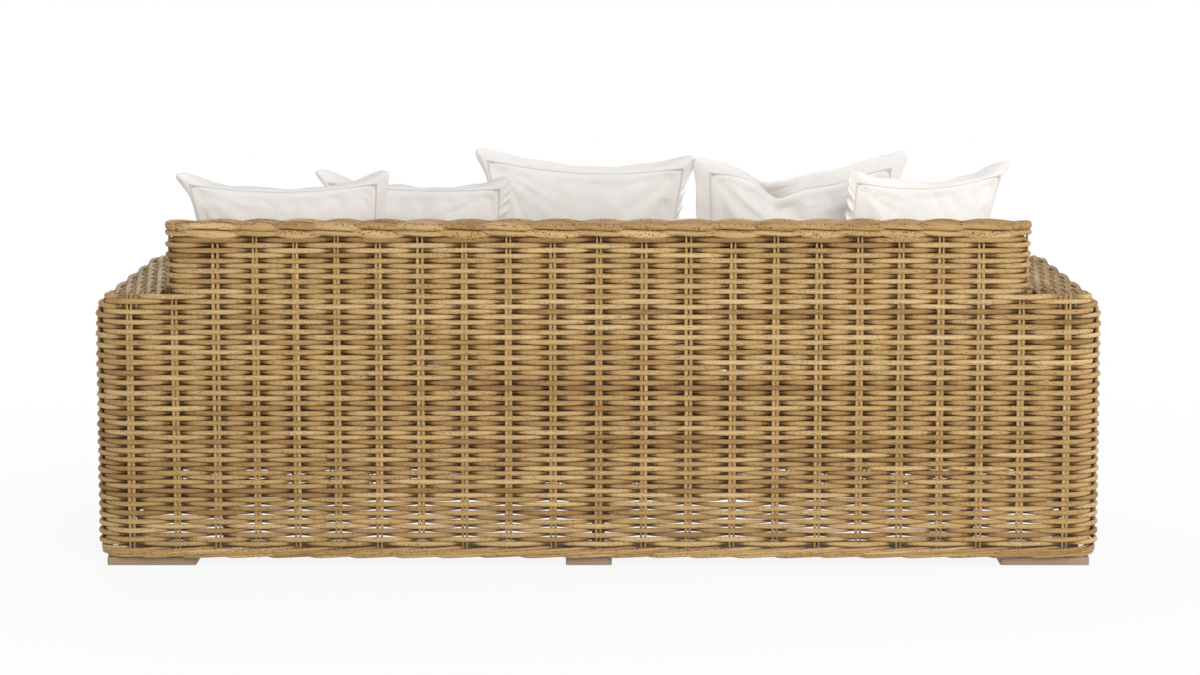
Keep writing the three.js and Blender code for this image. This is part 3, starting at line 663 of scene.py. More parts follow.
def cane_group():
    """Skin of a cane: tone of the strand, long grain, patches of dark flecks and a fine relief. A
    tone below 0 stands for a stretch behind a stake, darkened there as painted shade."""
    group = Group("Cane skin", Light=WHITE, Middle=WHITE, Dark=BLACK, Fleck=BLACK, Flecks=0.5,
                  Roughness=0.6)
    run, around, tone = group.noted("strand")
    turn = around * (2 * math.pi)
    ring_x, ring_y = maths("COSINE", turn), maths("SINE", turn)
    grain = noise(joined(run * 7.0, ring_x, ring_y), 2.2, 3.0, 0.6)
    patch = noise(joined(run, tone, 0.0), 9.0)
    fibre = noise(joined(run * 26.0, ring_x, ring_y), 6.0, 2.0, 0.6)
    blend = maths("MAXIMUM", tone, 0.0) * 0.62 + patch * 0.30 + grain * 0.28 + fibre * 0.14
    colour = mix(ramp(blend, 0.30, 0.66), group["Dark"], group["Middle"])
    colour = mix(ramp(blend, 0.62, 0.98), colour, group["Light"])
    cells = joined(run * 260.0, ring_x * 2.9, ring_y * 2.9)
    dots = node(group.tree, "ShaderNodeTexVoronoi", {"Vector": cells, "Scale": 1.0, "Randomness": 1.0})
    pick = Term(node(group.tree, "ShaderNodeSeparateColor", {0: dots.outputs["Color"]}).outputs[0])
    gate = noise(joined(run * 9.0, ring_y, tone * 31.0), 1.0, 1.0)
    amount = ramp(gate, 0.40, 0.53) * group["Flecks"]
    far = Term(dots.outputs["Distance"]) + pick * 0.42
    speck = (ramp(far, 0.46, 0.60, 1.0, 0.0) * amount).clamped()
    colour = mix(speck, colour, group["Fleck"])
    # Painted shade: a tone below 0 darkens the colour, down to 0.42 of it at -0.9.
    light = ramp(tone, -0.9, 0.0, 0.42, 1.0)
    colour = mix(1.0, colour, joined(light, light, light), "MULTIPLY")
    return group.finish(colour, group["Roughness"] + fibre * 0.16, fibre * 0.6 - speck * 0.8)


def linen_group():
    """Plain weave of linen: crossed threads of uneven thickness, with slubs and soft mottling. Near
    the seams the colour is darkened as painted shade.
    """
    group = Group("Linen weave", Color=WHITE, Shade=BLACK, Threads=1100.0, Roughness=0.85, Seam=0.46,
                  SeamShade=(0.42, 0.39, 0.35, 1))
    x, y, layer = group.noted("cloth")
    waver = noise(joined(x, y, layer), 60.0) * 0.0022
    warp, weft = (maths("SINE", (way + waver) * group["Threads"]) for way in (x, y))
    wave = warp * weft
    long_x = noise(joined(x * 9.0, y * 420.0, layer), 1.0)
    long_y = noise(joined(x * 420.0, y * 9.0, layer), 1.0)
    thick = ramp(maths("MAXIMUM", long_x, long_y), 0.56, 0.74)
    mottle = noise(joined(x, y, layer), 14.0, 3.0, 0.55)
    crumple = noise(joined(x, y, x + y), 30.0, 4.0)
    crumple.socket.node.inputs["Distortion"].default_value = 0.35
    crumple = 1.0 - ramp(maths("ABSOLUTE", crumple - 0.5), 0.0, 0.24)
    tint = (mottle * 0.55 + thick * 0.35 + wave * 0.12).clamped()
    # Painted shade: the colour turns towards a dark grey where the cloth lies near a seam.
    seam = ramp(group.note("seam", "Fac"), 0.35, 0.95) * group["Seam"]
    colour = mix(seam, mix(tint, group["Shade"], group["Color"]), group["SeamShade"])
    height = wave * 0.05 + thick * 0.08 + crumple * 0.40
    return group.finish(colour, group["Roughness"] + thick * 0.06, height)


def coat_group():
    """Powder coat: a fine orange-peel relief with slightly uneven gloss and tone."""
    group = Group("Powder coat", Color=WHITE, Shade=BLACK, Grain=900.0, Roughness=0.5)
    where = Term(node(group.tree, "ShaderNodeNewGeometry").outputs["Position"])
    peel = noise(where, group["Grain"])
    cloud = noise(where, 16.0, 3.0, 0.6)
    tint = (cloud * 0.7 + peel * 0.3).clamped()
    colour = mix(tint, group["Shade"], group["Color"])
    return group.finish(colour, group["Roughness"] + cloud * 0.14, peel)


def strap_group():
    """Ribs of a woven strap, across its run, with finer threads along it."""
    group = Group("Strap ribs", Color=WHITE, Shade=BLACK)
    run, around, _ = group.noted("strand")
    rib = maths("SINE", run * (2 * math.pi / RIB_PITCH))
    thread = maths("SINE", around * 260.0)
    dust = noise(joined(run, around, 0.0), 30.0, 3.0, 0.6)
    height = rib * 0.5 + thread * 0.2
    tint = (height * 0.4 + dust * 0.9).clamped()
    return group.finish(mix(tint, group["Shade"], group["Color"]), dust * 0.2 + 0.65, height)


def rgba(colour, gain=1.0):
    return (*(min(1.0, c * gain) for c in colour), 1.0)


def new_material(name):
    made = bpy.data.materials.new(name)
    made.use_nodes = True
    tree = made.node_tree
    return made, tree, tree.nodes["Principled BSDF"]


def material(name, group_name, make, relief, distance, specular=0.5, **values):
    """A material with one of the groups, made once. values are the inputs of the group."""
    found = bpy.data.materials.get(name)
    if found:
        return found
    made, tree, shader = new_material(name)
    tree_of_group = bpy.data.node_groups.get(group_name) or make()
    group = node(tree, "ShaderNodeGroup", node_tree=tree_of_group)
    for label, value in values.items():
        group.inputs[label].default_value = value
    bump = node(tree, "ShaderNodeBump", {"Strength": relief, "Distance": distance,
                                         "Height": group.outputs["Height"]})
    for label, socket in (("Base Color", group.outputs["Color"]), ("Normal", bump.outputs["Normal"]),
                          ("Roughness", group.outputs["Roughness"])):
        tree.links.new(socket, shader.inputs[label])
    shader.inputs["Specular IOR Level"].default_value = specular
    return made


def cane_material(name="Cane weavers", flecks=0.75, gain=1.0):
    colours = bpy.context.scene.sofa_colours
    light, middle, dark = (rgba(colour, gain) for colour in (
        colours.rattan_light, colours.rattan_mid, colours.rattan_dark))
    return material(name, "Cane skin", cane_group, 0.35, 0.0006, 0.20, Light=light, Middle=middle,
                    Dark=dark, Fleck=rgba(colours.rattan_fleck), Flecks=flecks, Roughness=0.46)


def rim_material():
    return cane_material("Cane rim", 1.0, 1.02)


def coat_material(name, colour):
    return material(name, "Powder coat", coat_group, 0.15, 0.0003, Color=rgba(colour),
                    Shade=rgba(colour, 0.90), Grain=900.0, Roughness=0.42)


def linen_material():
    colour = bpy.context.scene.sofa_colours.linen
    return material("Linen", "Linen weave", linen_group, 0.6, 0.0022, Color=rgba(colour),
                    Shade=rgba(colour, 0.90), Threads=4200.0, Roughness=0.86)


def webbing_material():
    colour = bpy.context.scene.sofa_colours.webbing
    return material("Webbing", "Strap ribs", strap_group, 0.6, 0.0006, Color=rgba(colour),
                    Shade=rgba(colour, 0.72))


# Operators
class Build(bpy.types.Operator):
    """Common part of the operators that build pieces."""
    bl_options = {"REGISTER", "UNDO"}

    def execute(self, context):
        scene = context.scene
        self.weave = scene.sofa_weave
        self.border = scene.sofa_border
        self.soft = scene.sofa_soft
        self.colours = scene.sofa_colours
        self.plan = Plan(self.weave)
        self.lap = 0.9 * self.weave.stake_spacing / self.weave.steps
        self.make(scene)
        return {"FINISHED"}

    def stations(self, places, first, before=None, after=None, finer=0):
        """Stations along a course. It laps one station past its ends if nothing else is given."""
        before, after = (self.lap if room is None else room for room in (before, after))
        return stations(places, first, self.weave.steps + finer, before, after)

    def stake(self, strands, s, top, seed, way=None):
        """The pair of stakes at a place of the outer skin, from its foot up to a height."""
        point, out, _ = self.plan.at(np.array([s]), SKIN_FOOT)
        way = way or (out[0][1], -out[0][0], 0.0)
        add_straight_stake(strands, self.weave, point[0], way, out[0], SKIN_FOOT - STAKE_TUCK, top,
                           seed)

    def panel(self, strands, rows, run, across, y, seed=11):
        """Flat courses that face forwards. across is 1 where they run towards the sitter's left."""
        where, number = run
        for row, level in rows:
            Course(self.weave, row, seed).lay(strands, number, vectors(across * where, y, level),
                                              (0, -1, 0), (0, 0, 1), pitch_at(self.weave, level))


def stake_top(x):
    """Stakes end in the rim where the back is raised, and elsewhere under the arm's top."""
    return RIM_FOOT + RIM_TUCK if abs(x) < RAISED_END else ARM_TOP - TOP_TUCK


class SOFA_OT_back_weave(Build):
    """Weave the back and its two rounded corners"""
    bl_idname = "sofa.back_weave"
    bl_label = "Back weave"

    def make(self, scene):
        plan, weave = self.plan, self.weave
        strands = Strands()
        where, number = self.stations(plan.stake_s(np.arange(-SPLIT, SPLIT + 1)), -SPLIT)
        for row, level in ring_rows(weave):
            Course(weave, row).lay(strands, number, *plan.at(where, level), pitch_at(weave, level))
        for k in range(1 - SPLIT, SPLIT):
            s = plan.stake_s(k)
            self.stake(strands, s, stake_top(s), k + 100)
        place(strands.build("back_weave", cane_material()), ROOT, "rattan", "lower_back_weave",
              "back_corner_weave_left", "back_corner_weave_right")


class SOFA_OT_arm_weave(Build):
    """Weave the outer side, the front and the inner side of each arm"""
    bl_idname = "sofa.arm_weave"
    bl_label = "Arm weave"

    TOP_BEND = 0.008

    def make(self, scene):
        plan, weave = self.plan, self.weave
        outer = plan.stake_s(np.arange(SPLIT, FRONT_SPLIT + 1))
        hoops = np.arange(-ARM_STAKES, ARM_STAKES) * weave.stake_spacing
        inner = plan.inner_side + hoops - (plan.inner_bend - plan.back_y)
        short = self.stations(outer, SPLIT)
        full = self.stations(np.concatenate([outer, inner]), SPLIT, after=plan.inner_end - inner[-1])
        for side, word in SIDES:
            strands = Strands()
            for row, level in ring_rows(weave):
                inward = level >= DECK_TOP
                where, number = full if inward else short
                laid = plan.at(side * where, level, inward)
                Course(weave, row).lay(strands, side * number, *laid, pitch_at(weave, level))
            for k in range(-ARM_STAKES, ARM_STAKES + 1):
                self.hoop(strands, side, k)
            self.stake(strands, side * plan.stake_s(FRONT_SPLIT), ARM_TOP - TOP_TUCK, 150 + side,
                       (1, 0, 0))
            place(strands.build(f"arm_weave_{word}", cane_material()), ROOT, "rattan",
                  *(f"arm_{part}_weave_{word}" for part in ("outer", "front", "inner")))

    def hoop(self, strands, side, k):
        """A pair of rods up the outer side, over the shoulder, across the top and down inside."""
        plan, weave = self.plan, self.weave
        foot = plan.at(np.array([plan.stake_s(FIRST_HOOP - k)]), SKIN_FOOT)[0][0]
        path = [(foot[0], z) for z in np.linspace(SKIN_FOOT - STAKE_TUCK, plan.shoulder, 7)]
        for turn in np.linspace(0, math.pi / 2, 5)[1:]:
            path.append((plan.shoulder_x + plan.bend * math.cos(turn),
                         plan.shoulder + plan.bend * math.sin(turn)))
        path.append(((plan.shoulder_x + plan.inner_x) / 2, plan.top_z))
        path.append((plan.inner_x + self.TOP_BEND, plan.top_z))
        if k < ARM_STAKES:
            path.append((plan.inner_x, plan.top_z - self.TOP_BEND))
            path.extend((plan.inner_x, z) for z in np.linspace(plan.shoulder, DECK_FOOT, 4))
        path = np.array(path)
        step = np.gradient(path, axis=0)
        step /= np.linalg.norm(step, axis=1)[:, None]
        out = vectors(side * step[:, 1], 0.0, -step[:, 0])
        for rod in (-1, 1):
            y = k * weave.stake_spacing + rod * weave.rod_offset
            points = vectors(side * path[:, 0], y, path[:, 1]) + out * weave.rod_lift
            add_rod(strands, points, (0, 1, 0), out, weave.rod_radius,
                    0.3 + 0.4 * ((k * 7 + rod * 3) % 5) / 5, 400 + side * 30 + k * 3 + rod)


class SOFA_OT_arm_tops(Build):
    """Weave the flat top of each arm, with ends that bend down behind the edge courses"""
    bl_idname = "sofa.arm_tops"
    bl_label = "Arm tops"

    EDGE = 0.0125
    OVERRUN = 0.004
    END_BEND = 0.010
    END_DROP = 0.032

    def make(self, scene):
        plan, weave = self.plan, self.weave
        last, level = ring_rows(weave)[-1]
        used = level - plan.shoulder
        ring = plan.at(np.linspace(CORNER_X - 0.1, plan.side_start, 60), level)[0]
        offset = weave.high_pitch - (plan.bend * math.pi / 2 - used)
        for side, word in SIDES:
            strands = Strands()
            row, x = last, plan.shoulder_x - offset
            while x > plan.inner_x - self.OVERRUN:
                row += 1
                edge = float(np.interp(x, ring[:, 0], ring[:, 1])) - self.EDGE
                self.course(strands, row, side, x, edge)
                x -= weave.high_pitch
            # Colours scaled down to 0.84: painted shade on the tops of the arms.
            piece = strands.build(f"arm_top_{word}", cane_material("Cane arm tops painted shade", gain=0.84))
            place(piece, ROOT, "rattan", f"arm_top_weave_{word}")

    def course(self, strands, row, side, x, edge):
        """One course from the rear edge to the front one, its ends bent down behind the ring."""
        plan, weave = self.plan, self.weave
        course = Course(weave, row + 200)
        course.row = row
        places = np.arange(-ARM_STAKES, ARM_STAKES + 1) * weave.stake_spacing
        where, number = self.stations(places, 0, edge - places[-1], edge - places[-1])
        wave, depth = course.depth_at(number)
        centre = vectors(side * x, where, plan.top_z)
        centre[:, 2] += depth
        start, end = (self.bent_end(centre[at], sign) for sign, at in ((-1, 0), (1, -1)))
        path = start[::-1] + [(point, (0, 0, 1)) for point in centre] + end
        points, outs = (np.array(column, float) for column in zip(*path))
        pad = len(start)
        wave = np.pad(wave, pad)
        number = np.pad(number, pad, mode="edge")
        fat = course.at_stake(course.fat, number)
        # Behind a stake the tone is lowered: painted shade.
        tone = course.tone_at(number, row) - painted_shade_share(wave)
        strands.add(points, outs, (side, 0, 0), weave.half_thick * fat,
                    course.tall_at(wave, weave.high_pitch) * fat, tone, weave.sides, start=course.shift)

    def bent_end(self, top, sign):
        """Points and outward directions of the end of a course, from its last point down."""
        bend = []
        for turn in (30, 60, 90):
            r = math.radians(turn)
            move = (0, sign * self.END_BEND * math.sin(r), -self.END_BEND * (1 - math.cos(r)))
            bend.append((top + move, (0, sign * math.sin(r), math.cos(r))))
        return bend + [(top + (0, sign * self.END_BEND, -self.END_DROP), (0, sign, 0))]


class SOFA_OT_front_apron(Build):
    """Weave the apron under the front of the seat"""
    bl_idname = "sofa.front_apron"
    bl_label = "Front apron"

    def make(self, scene):
        plan, weave = self.plan, self.weave
        strands = Strands()
        left = plan.front_start + CORNER_X - plan.stake_s(np.arange(FRONT_SPLIT, FRONT_MIDDLE))
        places = np.concatenate([-left, left[:-1][::-1]])
        rows = [(row, level) for row, level in ring_rows(weave) if level <= DECK_TOP]
        self.panel(strands, rows, self.stations(places, FRONT_SPLIT), -1, -plan.back_y)
        for k, x in enumerate(places[1:-1]):
            add_straight_stake(strands, weave, (x, -plan.back_y), (1, 0, 0), (0, -1, 0),
                               SKIN_FOOT - STAKE_TUCK, DECK_TOP - DECK_TUCK, 300 + k)
        place(strands.build("front_apron", cane_material()), ROOT, "rattan", "front_apron_weave")


class SOFA_OT_inner_back(Build):
    """Weave the inner side of the back, between the arms"""
    bl_idname = "sofa.inner_back"
    bl_label = "Inner back"

    LAST = 10

    def make(self, scene):
        plan, weave = self.plan, self.weave
        strands = Strands()
        numbers = np.arange(-self.LAST, self.LAST + 1)
        places = plan.stake_s(numbers)
        edge = plan.inner_x - places[-1]
        rows = [(row, level) for row, level in enumerate(skin_levels(weave))
                if DECK_TOP <= level <= ARM_TOP]
        run = self.stations(places, -self.LAST, edge, edge)
        self.panel(strands, rows, run, 1, plan.inner_y, seed=23)
        for k, x in zip(numbers, places):
            add_straight_stake(strands, weave, (x, plan.inner_y), (1, 0, 0), (0, -1, 0), DECK_FOOT,
                               stake_top(x), 340 + k)
        place(strands.build("inner_back", cane_material()), ROOT, "rattan", "inner_back_weave")


class Loop:
    """The stadium that the raised back follows in plan, at a depth inside its outer face. A place s
    is measured from the middle of the back, positive to the sitter's left, all round."""

    def __init__(self, plan, depth):
        self.radius = (HALF_DEPTH - BACK_INNER) / 2 - depth
        self.arc = math.pi * self.radius
        self.end = RAISED_END + self.arc / 2
        back = plan.stake_s(np.arange(0, 10))
        near = np.concatenate([back, [self.end], (2 * RAISED_END + self.arc) - back[::-1]])
        self.places = np.concatenate([-near[::-1], near[1:]])
        self.first = 1 - len(near)

    def at(self, s):
        """Plan places and outward directions."""
        side, a = np.where(s < 0, -1.0, 1.0), np.abs(s)
        turn = np.clip((a - RAISED_END) / max(self.radius, 1e-4), 0, math.pi)
        past = np.clip(a - RAISED_END - self.arc, 0, None)
        x = np.clip(a, 0, RAISED_END) - past + self.radius * np.sin(turn)
        y = (HALF_DEPTH + BACK_INNER) / 2 + self.radius * np.cos(turn)
        return side * x, y, vectors(side * np.sin(turn), np.cos(turn), 0.0)


class SOFA_OT_raised_back(Build):
    """Weave the raised part of the back as closed rings with round ends"""
    bl_idname = "sofa.raised_back"
    bl_label = "Raised back"

    CALM_REACH = 0.05
    CALM_SHARE = 0.6
    STAKE_START = 0.02

    def make(self, scene):
        weave = self.weave
        loop = Loop(self.plan, weave.depth)
        where, number = self.stations(loop.places, loop.first)
        x, y, out = loop.at(where)
        from_end = (np.abs(where) - RAISED_END - loop.arc / 2) / self.CALM_REACH
        calm = 1 - self.CALM_SHARE * np.exp(-from_end ** 2)
        strands = Strands()
        rows = list(enumerate(skin_levels(weave)))[len(ring_rows(weave)):]
        for row, level in rows:
            Course(weave, row).lay(strands, number, vectors(x, y, level), out, (0, 0, 1),
                                   dive_share=calm)
        for side, _ in SIDES:
            x, y, _ = loop.at(np.array([side * loop.end]))
            add_straight_stake(strands, weave, (x[0], y[0]), (0, 1, 0), (side, 0, 0),
                               ARM_TOP - self.STAKE_START, RIM_FOOT + RIM_TUCK, 380 + side)
        place(strands.build("raised_back", cane_material()), ROOT, "rattan", "upper_back_weave",
              "back_end_weave_left", "back_end_weave_right")


class SOFA_OT_back_rim(Build):
    """Twine the thick rim of the raised back and close its top"""
    bl_idname = "sofa.back_rim"
    bl_label = "Back rim"

    SWING = 0.0062
    TWIST = 0.0018
    THICK, BULGE = 0.0058, 0.0012
    PACKING_DEPTH = 0.0085
    TOP_DEPTHS = (0.0285, 0.0400, 0.0505)
    TOP_WIDTHS = (0.0056, 0.0056, 0.0042)
    TOP_THICK = 0.0052
    TOP_DROP = 0.0135

    def make(self, scene):
        weave, border = self.weave, self.border
        loop = Loop(self.plan, weave.depth)
        where, number = self.stations(loop.places, loop.first, finer=2)
        x, y, out = loop.at(where)
        up = (0, 0, 1)
        strands = Strands()
        upper = BACK_TOP - 0.0003
        # Parity, half height, level, share of the height lost behind a stake, drop there
        rolls = (
            (0, border.rim_upper_even, upper - border.rim_upper_even, 0.30, -0.0018),
            (1, border.rim_upper_odd, upper - border.rim_upper_odd, 0.26, -0.0023),
            (1, border.rim_lower_odd, RIM_FOOT + 0.0010, 0.33, 0.0014),
            (0, border.rim_lower_even, RIM_FOOT + 0.0036, 0.16, 0.0),
        )
        for roll, (parity, half_tall, level, taper, drop) in enumerate(rolls):
            course = Course(weave, 900 + roll)
            wave = np.cos(math.pi * (number + parity))
            fat = course.at_stake(course.fat, number)
            tall = half_tall * (1 - taper * (1 - wave)) * (0.5 + 0.5 * fat)
            twist = self.TWIST * np.sin(math.pi * (number + parity))
            centre = vectors(x, y, level + drop * (1 - wave) + twist)
            centre = centre + out * (self.SWING * wave)[:, None]
            # Behind a stake the tone is lowered: painted shade.
            tone = course.tone_at(number, parity) - 0.7 * smooth_step((-wave + 0.05) / 0.8)
            strands.add(centre, out, up, (self.THICK + self.BULGE * wave) * fat, tall, tone,
                        weave.sides, start=course.shift)
        # A packing strand under the rim, with a tone of -0.4 that paints it darker: painted shade.
        packing = vectors(x, y, RIM_FOOT - 0.001) - out * self.PACKING_DEPTH
        strands.add(packing, out, up, 0.005, 0.0075, -0.4, weave.sides)
        self.close_top(strands)
        place(strands.build("back_rim_twine", rim_material()), ROOT, "rattan", "back_rim")

    def close_top(self, strands):
        """Loops of weavers over short cross rods, between the outer and the inner rim."""
        plan, weave = self.plan, self.weave
        top_z = BACK_TOP - self.TOP_DROP
        for ring, (depth, width) in enumerate(zip(self.TOP_DEPTHS, self.TOP_WIDTHS)):
            loop = Loop(plan, depth)
            course = Course(weave, 930 + ring)
            where, number = self.stations(loop.places, loop.first)
            x, y, out = loop.at(where)
            wave = np.cos(math.pi * (number + ring))
            fat = course.at_stake(course.fat, number)
            # Where a loop lies behind a stake the tone is lowered: painted shade.
            tone = course.tone_at(number, ring) - 0.5 * smooth_step(-wave)
            strands.add(vectors(x, y, top_z + self.SWING * wave), (0, 0, 1), out, self.TOP_THICK * fat,
                        width * fat, tone, weave.sides, start=course.shift)
        for k in range(-9, 10):
            for rod in (-1, 1):
                points = vectors(plan.stake_s(k) + rod * weave.rod_offset,
                                 np.linspace(plan.inner_y, plan.back_y, 4), top_z)
                add_rod(strands, points, (1, 0, 0), (0, 0, 1), weave.rod_radius, 0.5,
                        960 + 3 * k + rod)


class SOFA_OT_base_border(Build):
    """Lay the rope border round the foot of the weave"""
    bl_idname = "sofa.base_border"
    bl_label = "Base border"

    STRANDS = 64
    TURN = 1.72
    PAST_END = 0.35
    SECTIONS = 28
    START_RISE = 0.0055
    START_TUCK = 0.011
    END_TUCK = 0.009
    TWIN_TUCK = 0.0012
    FLAT = 1.15

    def make(self, scene):
        plan, border = self.plan, self.border
        foot = low("base_border_back").z
        half_round = 2 * CORNER_X + 2 * CORNER_Y + 2 * plan.quarter
        spans, radius = border.rope_spans, border.rope_radius
        room = SKIN_FOOT - foot - 4 * radius
        depth_in = HALF_DEPTH - high("base_border_back").y + radius - self.weave.depth
        strands = Strands()
        t = np.linspace(-self.PAST_END, spans + self.PAST_END, self.SECTIONS)
        start_tuck = smooth_step((0.18 - t) / 0.45)
        end_tuck = smooth_step((t - spans + 0.25) / 0.5)
        rise = np.clip(t / spans, 0, 1) ** 1.25 * room
        for k in range(self.STRANDS):
            rng = np.random.default_rng((31, k))
            s = (k + 0.22 + t + rng.normal(0, 0.02)) * 2 * half_round / self.STRANDS
            s = (s + half_round) % (2 * half_round) - half_round
            point, out, _ = plan.at(-s, foot)
            for twin in (0, 1):
                fat = 1 + 0.05 * rng.normal()
                height = foot + radius * (1 + self.TURN * twin) + rise + self.START_RISE * start_tuck
                inward = (depth_in + self.START_TUCK * start_tuck + self.END_TUCK * end_tuck
                          - self.TWIN_TUCK * twin)
                centre = point - out * inward[:, None]
                centre[:, 2] = height + rng.normal(0, 0.0003)
                strands.add(centre, out, (0, 0, 1), radius * self.FLAT * fat, radius * fat,
                            rng.beta(*TONE_SPREAD), start=rng.random() * RUN_SHIFT)
        nodes = [f"base_border_{word}" for word in ("back", "front", "left", "right")]
        nodes += [f"base_border_corner_{end}_{word}" for end in ("back", "front") for _, word in SIDES]
        place(strands.build("base_border", rim_material()), ROOT, "rattan", *nodes)


class SOFA_OT_feet(Build):
    """Cut the feet with eased edges"""
    bl_idname = "sofa.feet"
    bl_label = "Feet"

    ROUND = 0.006
    EASED = 0.0014

    def make(self, scene):
        coat = coat_material("Foot coat", self.colours.foot)
        for node_name in sorted(frame["nodes"]):
            if not node_name.startswith("foot_"):
                continue
            first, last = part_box(node_name)
            shape = bmesh.new()
            matrix = Matrix.LocRotScale((first + last) / 2, None, last - first)
            bmesh.ops.create_cube(shape, size=1.0, matrix=matrix)
            upright = [e for e in shape.edges if abs(e.verts[0].co.z - e.verts[1].co.z) > 1e-6]
            bmesh.ops.bevel(shape, geom=upright, offset=self.ROUND, segments=4, profile=0.5,
                            affect="EDGES")
            rims = [e for e in shape.edges if abs(e.verts[0].co.z - e.verts[1].co.z) < 1e-6
                    and abs(e.link_faces[0].normal.z - e.link_faces[1].normal.z) > 0.5]
            bmesh.ops.bevel(shape, geom=rims, offset=self.EASED, segments=3, profile=0.5,
                            affect="EDGES")
            mesh = bpy.data.meshes.new(f"{node_name}_block")
            shape.to_mesh(mesh)
            shape.free()
            mesh.polygons.foreach_set("use_smooth", [abs(p.normal.z) < 0.999 for p in mesh.polygons])
            mesh.materials.append(coat)
            place(new_object(mesh.name, mesh), ROOT, "foot", node_name)


class SOFA_OT_frame_tubes(Build):
    """Coat the aluminium tubes"""
    bl_idname = "sofa.frame_tubes"
    bl_label = "Frame tubes"

    TUBES = ("base_rail", "seat_rail", "seat_bearer", "back_post", "back_top_rail", "arm_front_post",
             "arm_rear_post", "arm_rail")

    def make(self, scene):
        coat = coat_material("Frame coat", self.colours.frame)
        for node_name, piece in frame["nodes"].items():
            if node_name.startswith(self.TUBES):
                piece.data.materials.clear()
                piece.data.materials.append(coat)


class SOFA_OT_seat_deck(Build):
    """Interlace the straps that carry the seat cushions"""
    bl_idname = "sofa.seat_deck"
    bl_label = "Seat deck"

    STRAP = 0.050
    PITCH = 0.062
    HALF_THICK = 0.0013
    PLAY = 0.0002
    BOXY = 0.35

    def make(self, scene):
        first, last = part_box("seat_deck")
        middle, size = (first + last) / 2, last - first
        lanes = []
        for axis in (0, 1):
            number = int(size[axis] / self.PITCH)
            lanes.append(middle[axis] + (np.arange(number) - (number - 1) / 2) * size[axis] / number)
        strands = Strands()
        for along, across in ((0, 1), (1, 0)):
            crossings = lanes[along]
            lane = np.concatenate([[first[along]], crossings, [last[along]]])
            end = len(crossings) - 0.5
            number = np.concatenate([[-0.5], np.arange(len(crossings)), [end]])
            fine = np.arange(-0.5, end + 0.01, 0.25)
            for k, beside in enumerate(lanes[across]):
                centre = np.empty((len(fine), 3))
                centre[:, along] = np.interp(fine, number, lane)
                centre[:, across] = beside
                rise = size.z / 2 - self.HALF_THICK - self.PLAY
                centre[:, 2] = middle.z + rise * np.cos(math.pi * (fine + k + along))
                side = np.eye(3)[across]
                strands.add(centre, side, (0, 0, 1), self.STRAP / 2, self.HALF_THICK, 0.5, 12,
                            square=self.BOXY, taper=1.0)
        place(strands.build("seat_straps", webbing_material()), ROOT, "deck_webbing", "seat_deck")


# Cloth
CLOTH = {
    "quality": 6, "mass": 0.25, "tension_stiffness": 18, "compression_stiffness": 12,
    "shear_stiffness": 8, "bending_stiffness": 0.35, "air_damping": 4, "use_pressure": True,
    "vertex_group_mass": "held",
}
# Height in metres of the waves that an uneven filling makes.
UNEVEN = 0.0011


def cloth_mesh(name, points, faces, pattern, seam=None):
    """A linen piece. Its points keep their place on the cut cloth, for the weave, and how close
    they lie to a seam, for the painted shade along it."""
    seam = np.zeros(len(points)) if seam is None else seam
    return new_piece(name, points, [faces], linen_material(), {"cloth": pattern, "seam": seam})


def held_piece(name, points, grid, held, seam=None):
    """A cover before it is filled, with the points that stay where they are."""
    piece = cloth_mesh(name, points, grid["faces"], grid["pattern"], seam)
    piece.vertex_groups.new(name="held").add(held, 1.0, "ADD")
    return piece


def settle(pieces, soft, scene):
    """Fills the cloth of several pieces with air and lets it settle. Returns the settled points
    of each piece."""
    for piece in pieces:
        cloth = piece.modifiers.new("Cloth", "CLOTH")
        for key, value in CLOTH.items():
            setattr(cloth.settings, key, value)
        cloth.settings.uniform_pressure_force = soft.pressure
        cloth.settings.shrink_min = -soft.fullness
        cloth.settings.effector_weights.gravity = 0
        cloth.collision_settings.use_collision = False
        cloth.point_cache.frame_start = 1
        cloth.point_cache.frame_end = soft.steps
    for step in range(1, soft.steps + 1):
        scene.frame_set(step)
    view = bpy.context.evaluated_depsgraph_get()
    settled = [mesh_points(piece.evaluated_get(view).data) for piece in pieces]
    for piece in pieces:
        piece.modifiers.clear()
    scene.frame_set(1)
    return settled


def mesh_points(mesh):
    points = np.empty(len(mesh.vertices) * 3, np.float32)
    mesh.vertices.foreach_get("co", points)
    return points.reshape(-1, 3).astype(float)


def held_back(points, form, cap):
    """Points that moved no further than cap from the form."""
    move = points - form
    far = np.linalg.norm(move, axis=1, keepdims=True)
    return form + move * np.minimum(1.0, cap / np.maximum(far, 1e-9))


def shape_piece(piece, points):
    """Moves the points and subdivides once, and keeps the subdivided shape in the mesh itself."""
    piece.data.vertices.foreach_set("co", np.asarray(points, np.float32).ravel())
    piece.data.update()
    piece.modifiers.new("Smooth", "SUBSURF").levels = 1
    view = bpy.context.evaluated_depsgraph_get()
    mesh = bpy.data.meshes.new_from_object(piece.evaluated_get(view), depsgraph=view)
    old = piece.data
    piece.modifiers.clear()
    piece.data = mesh
    mesh.name = old.name
    bpy.data.meshes.remove(old)


def join_into(piece, extra):
    """Adds the shells of other objects to a piece."""
    shape = bmesh.new()
    shape.from_mesh(piece.data)
    for other in extra:
        shape.from_mesh(other.data)
        bpy.data.objects.remove(other)
    shape.to_mesh(piece.data)
    shape.free()


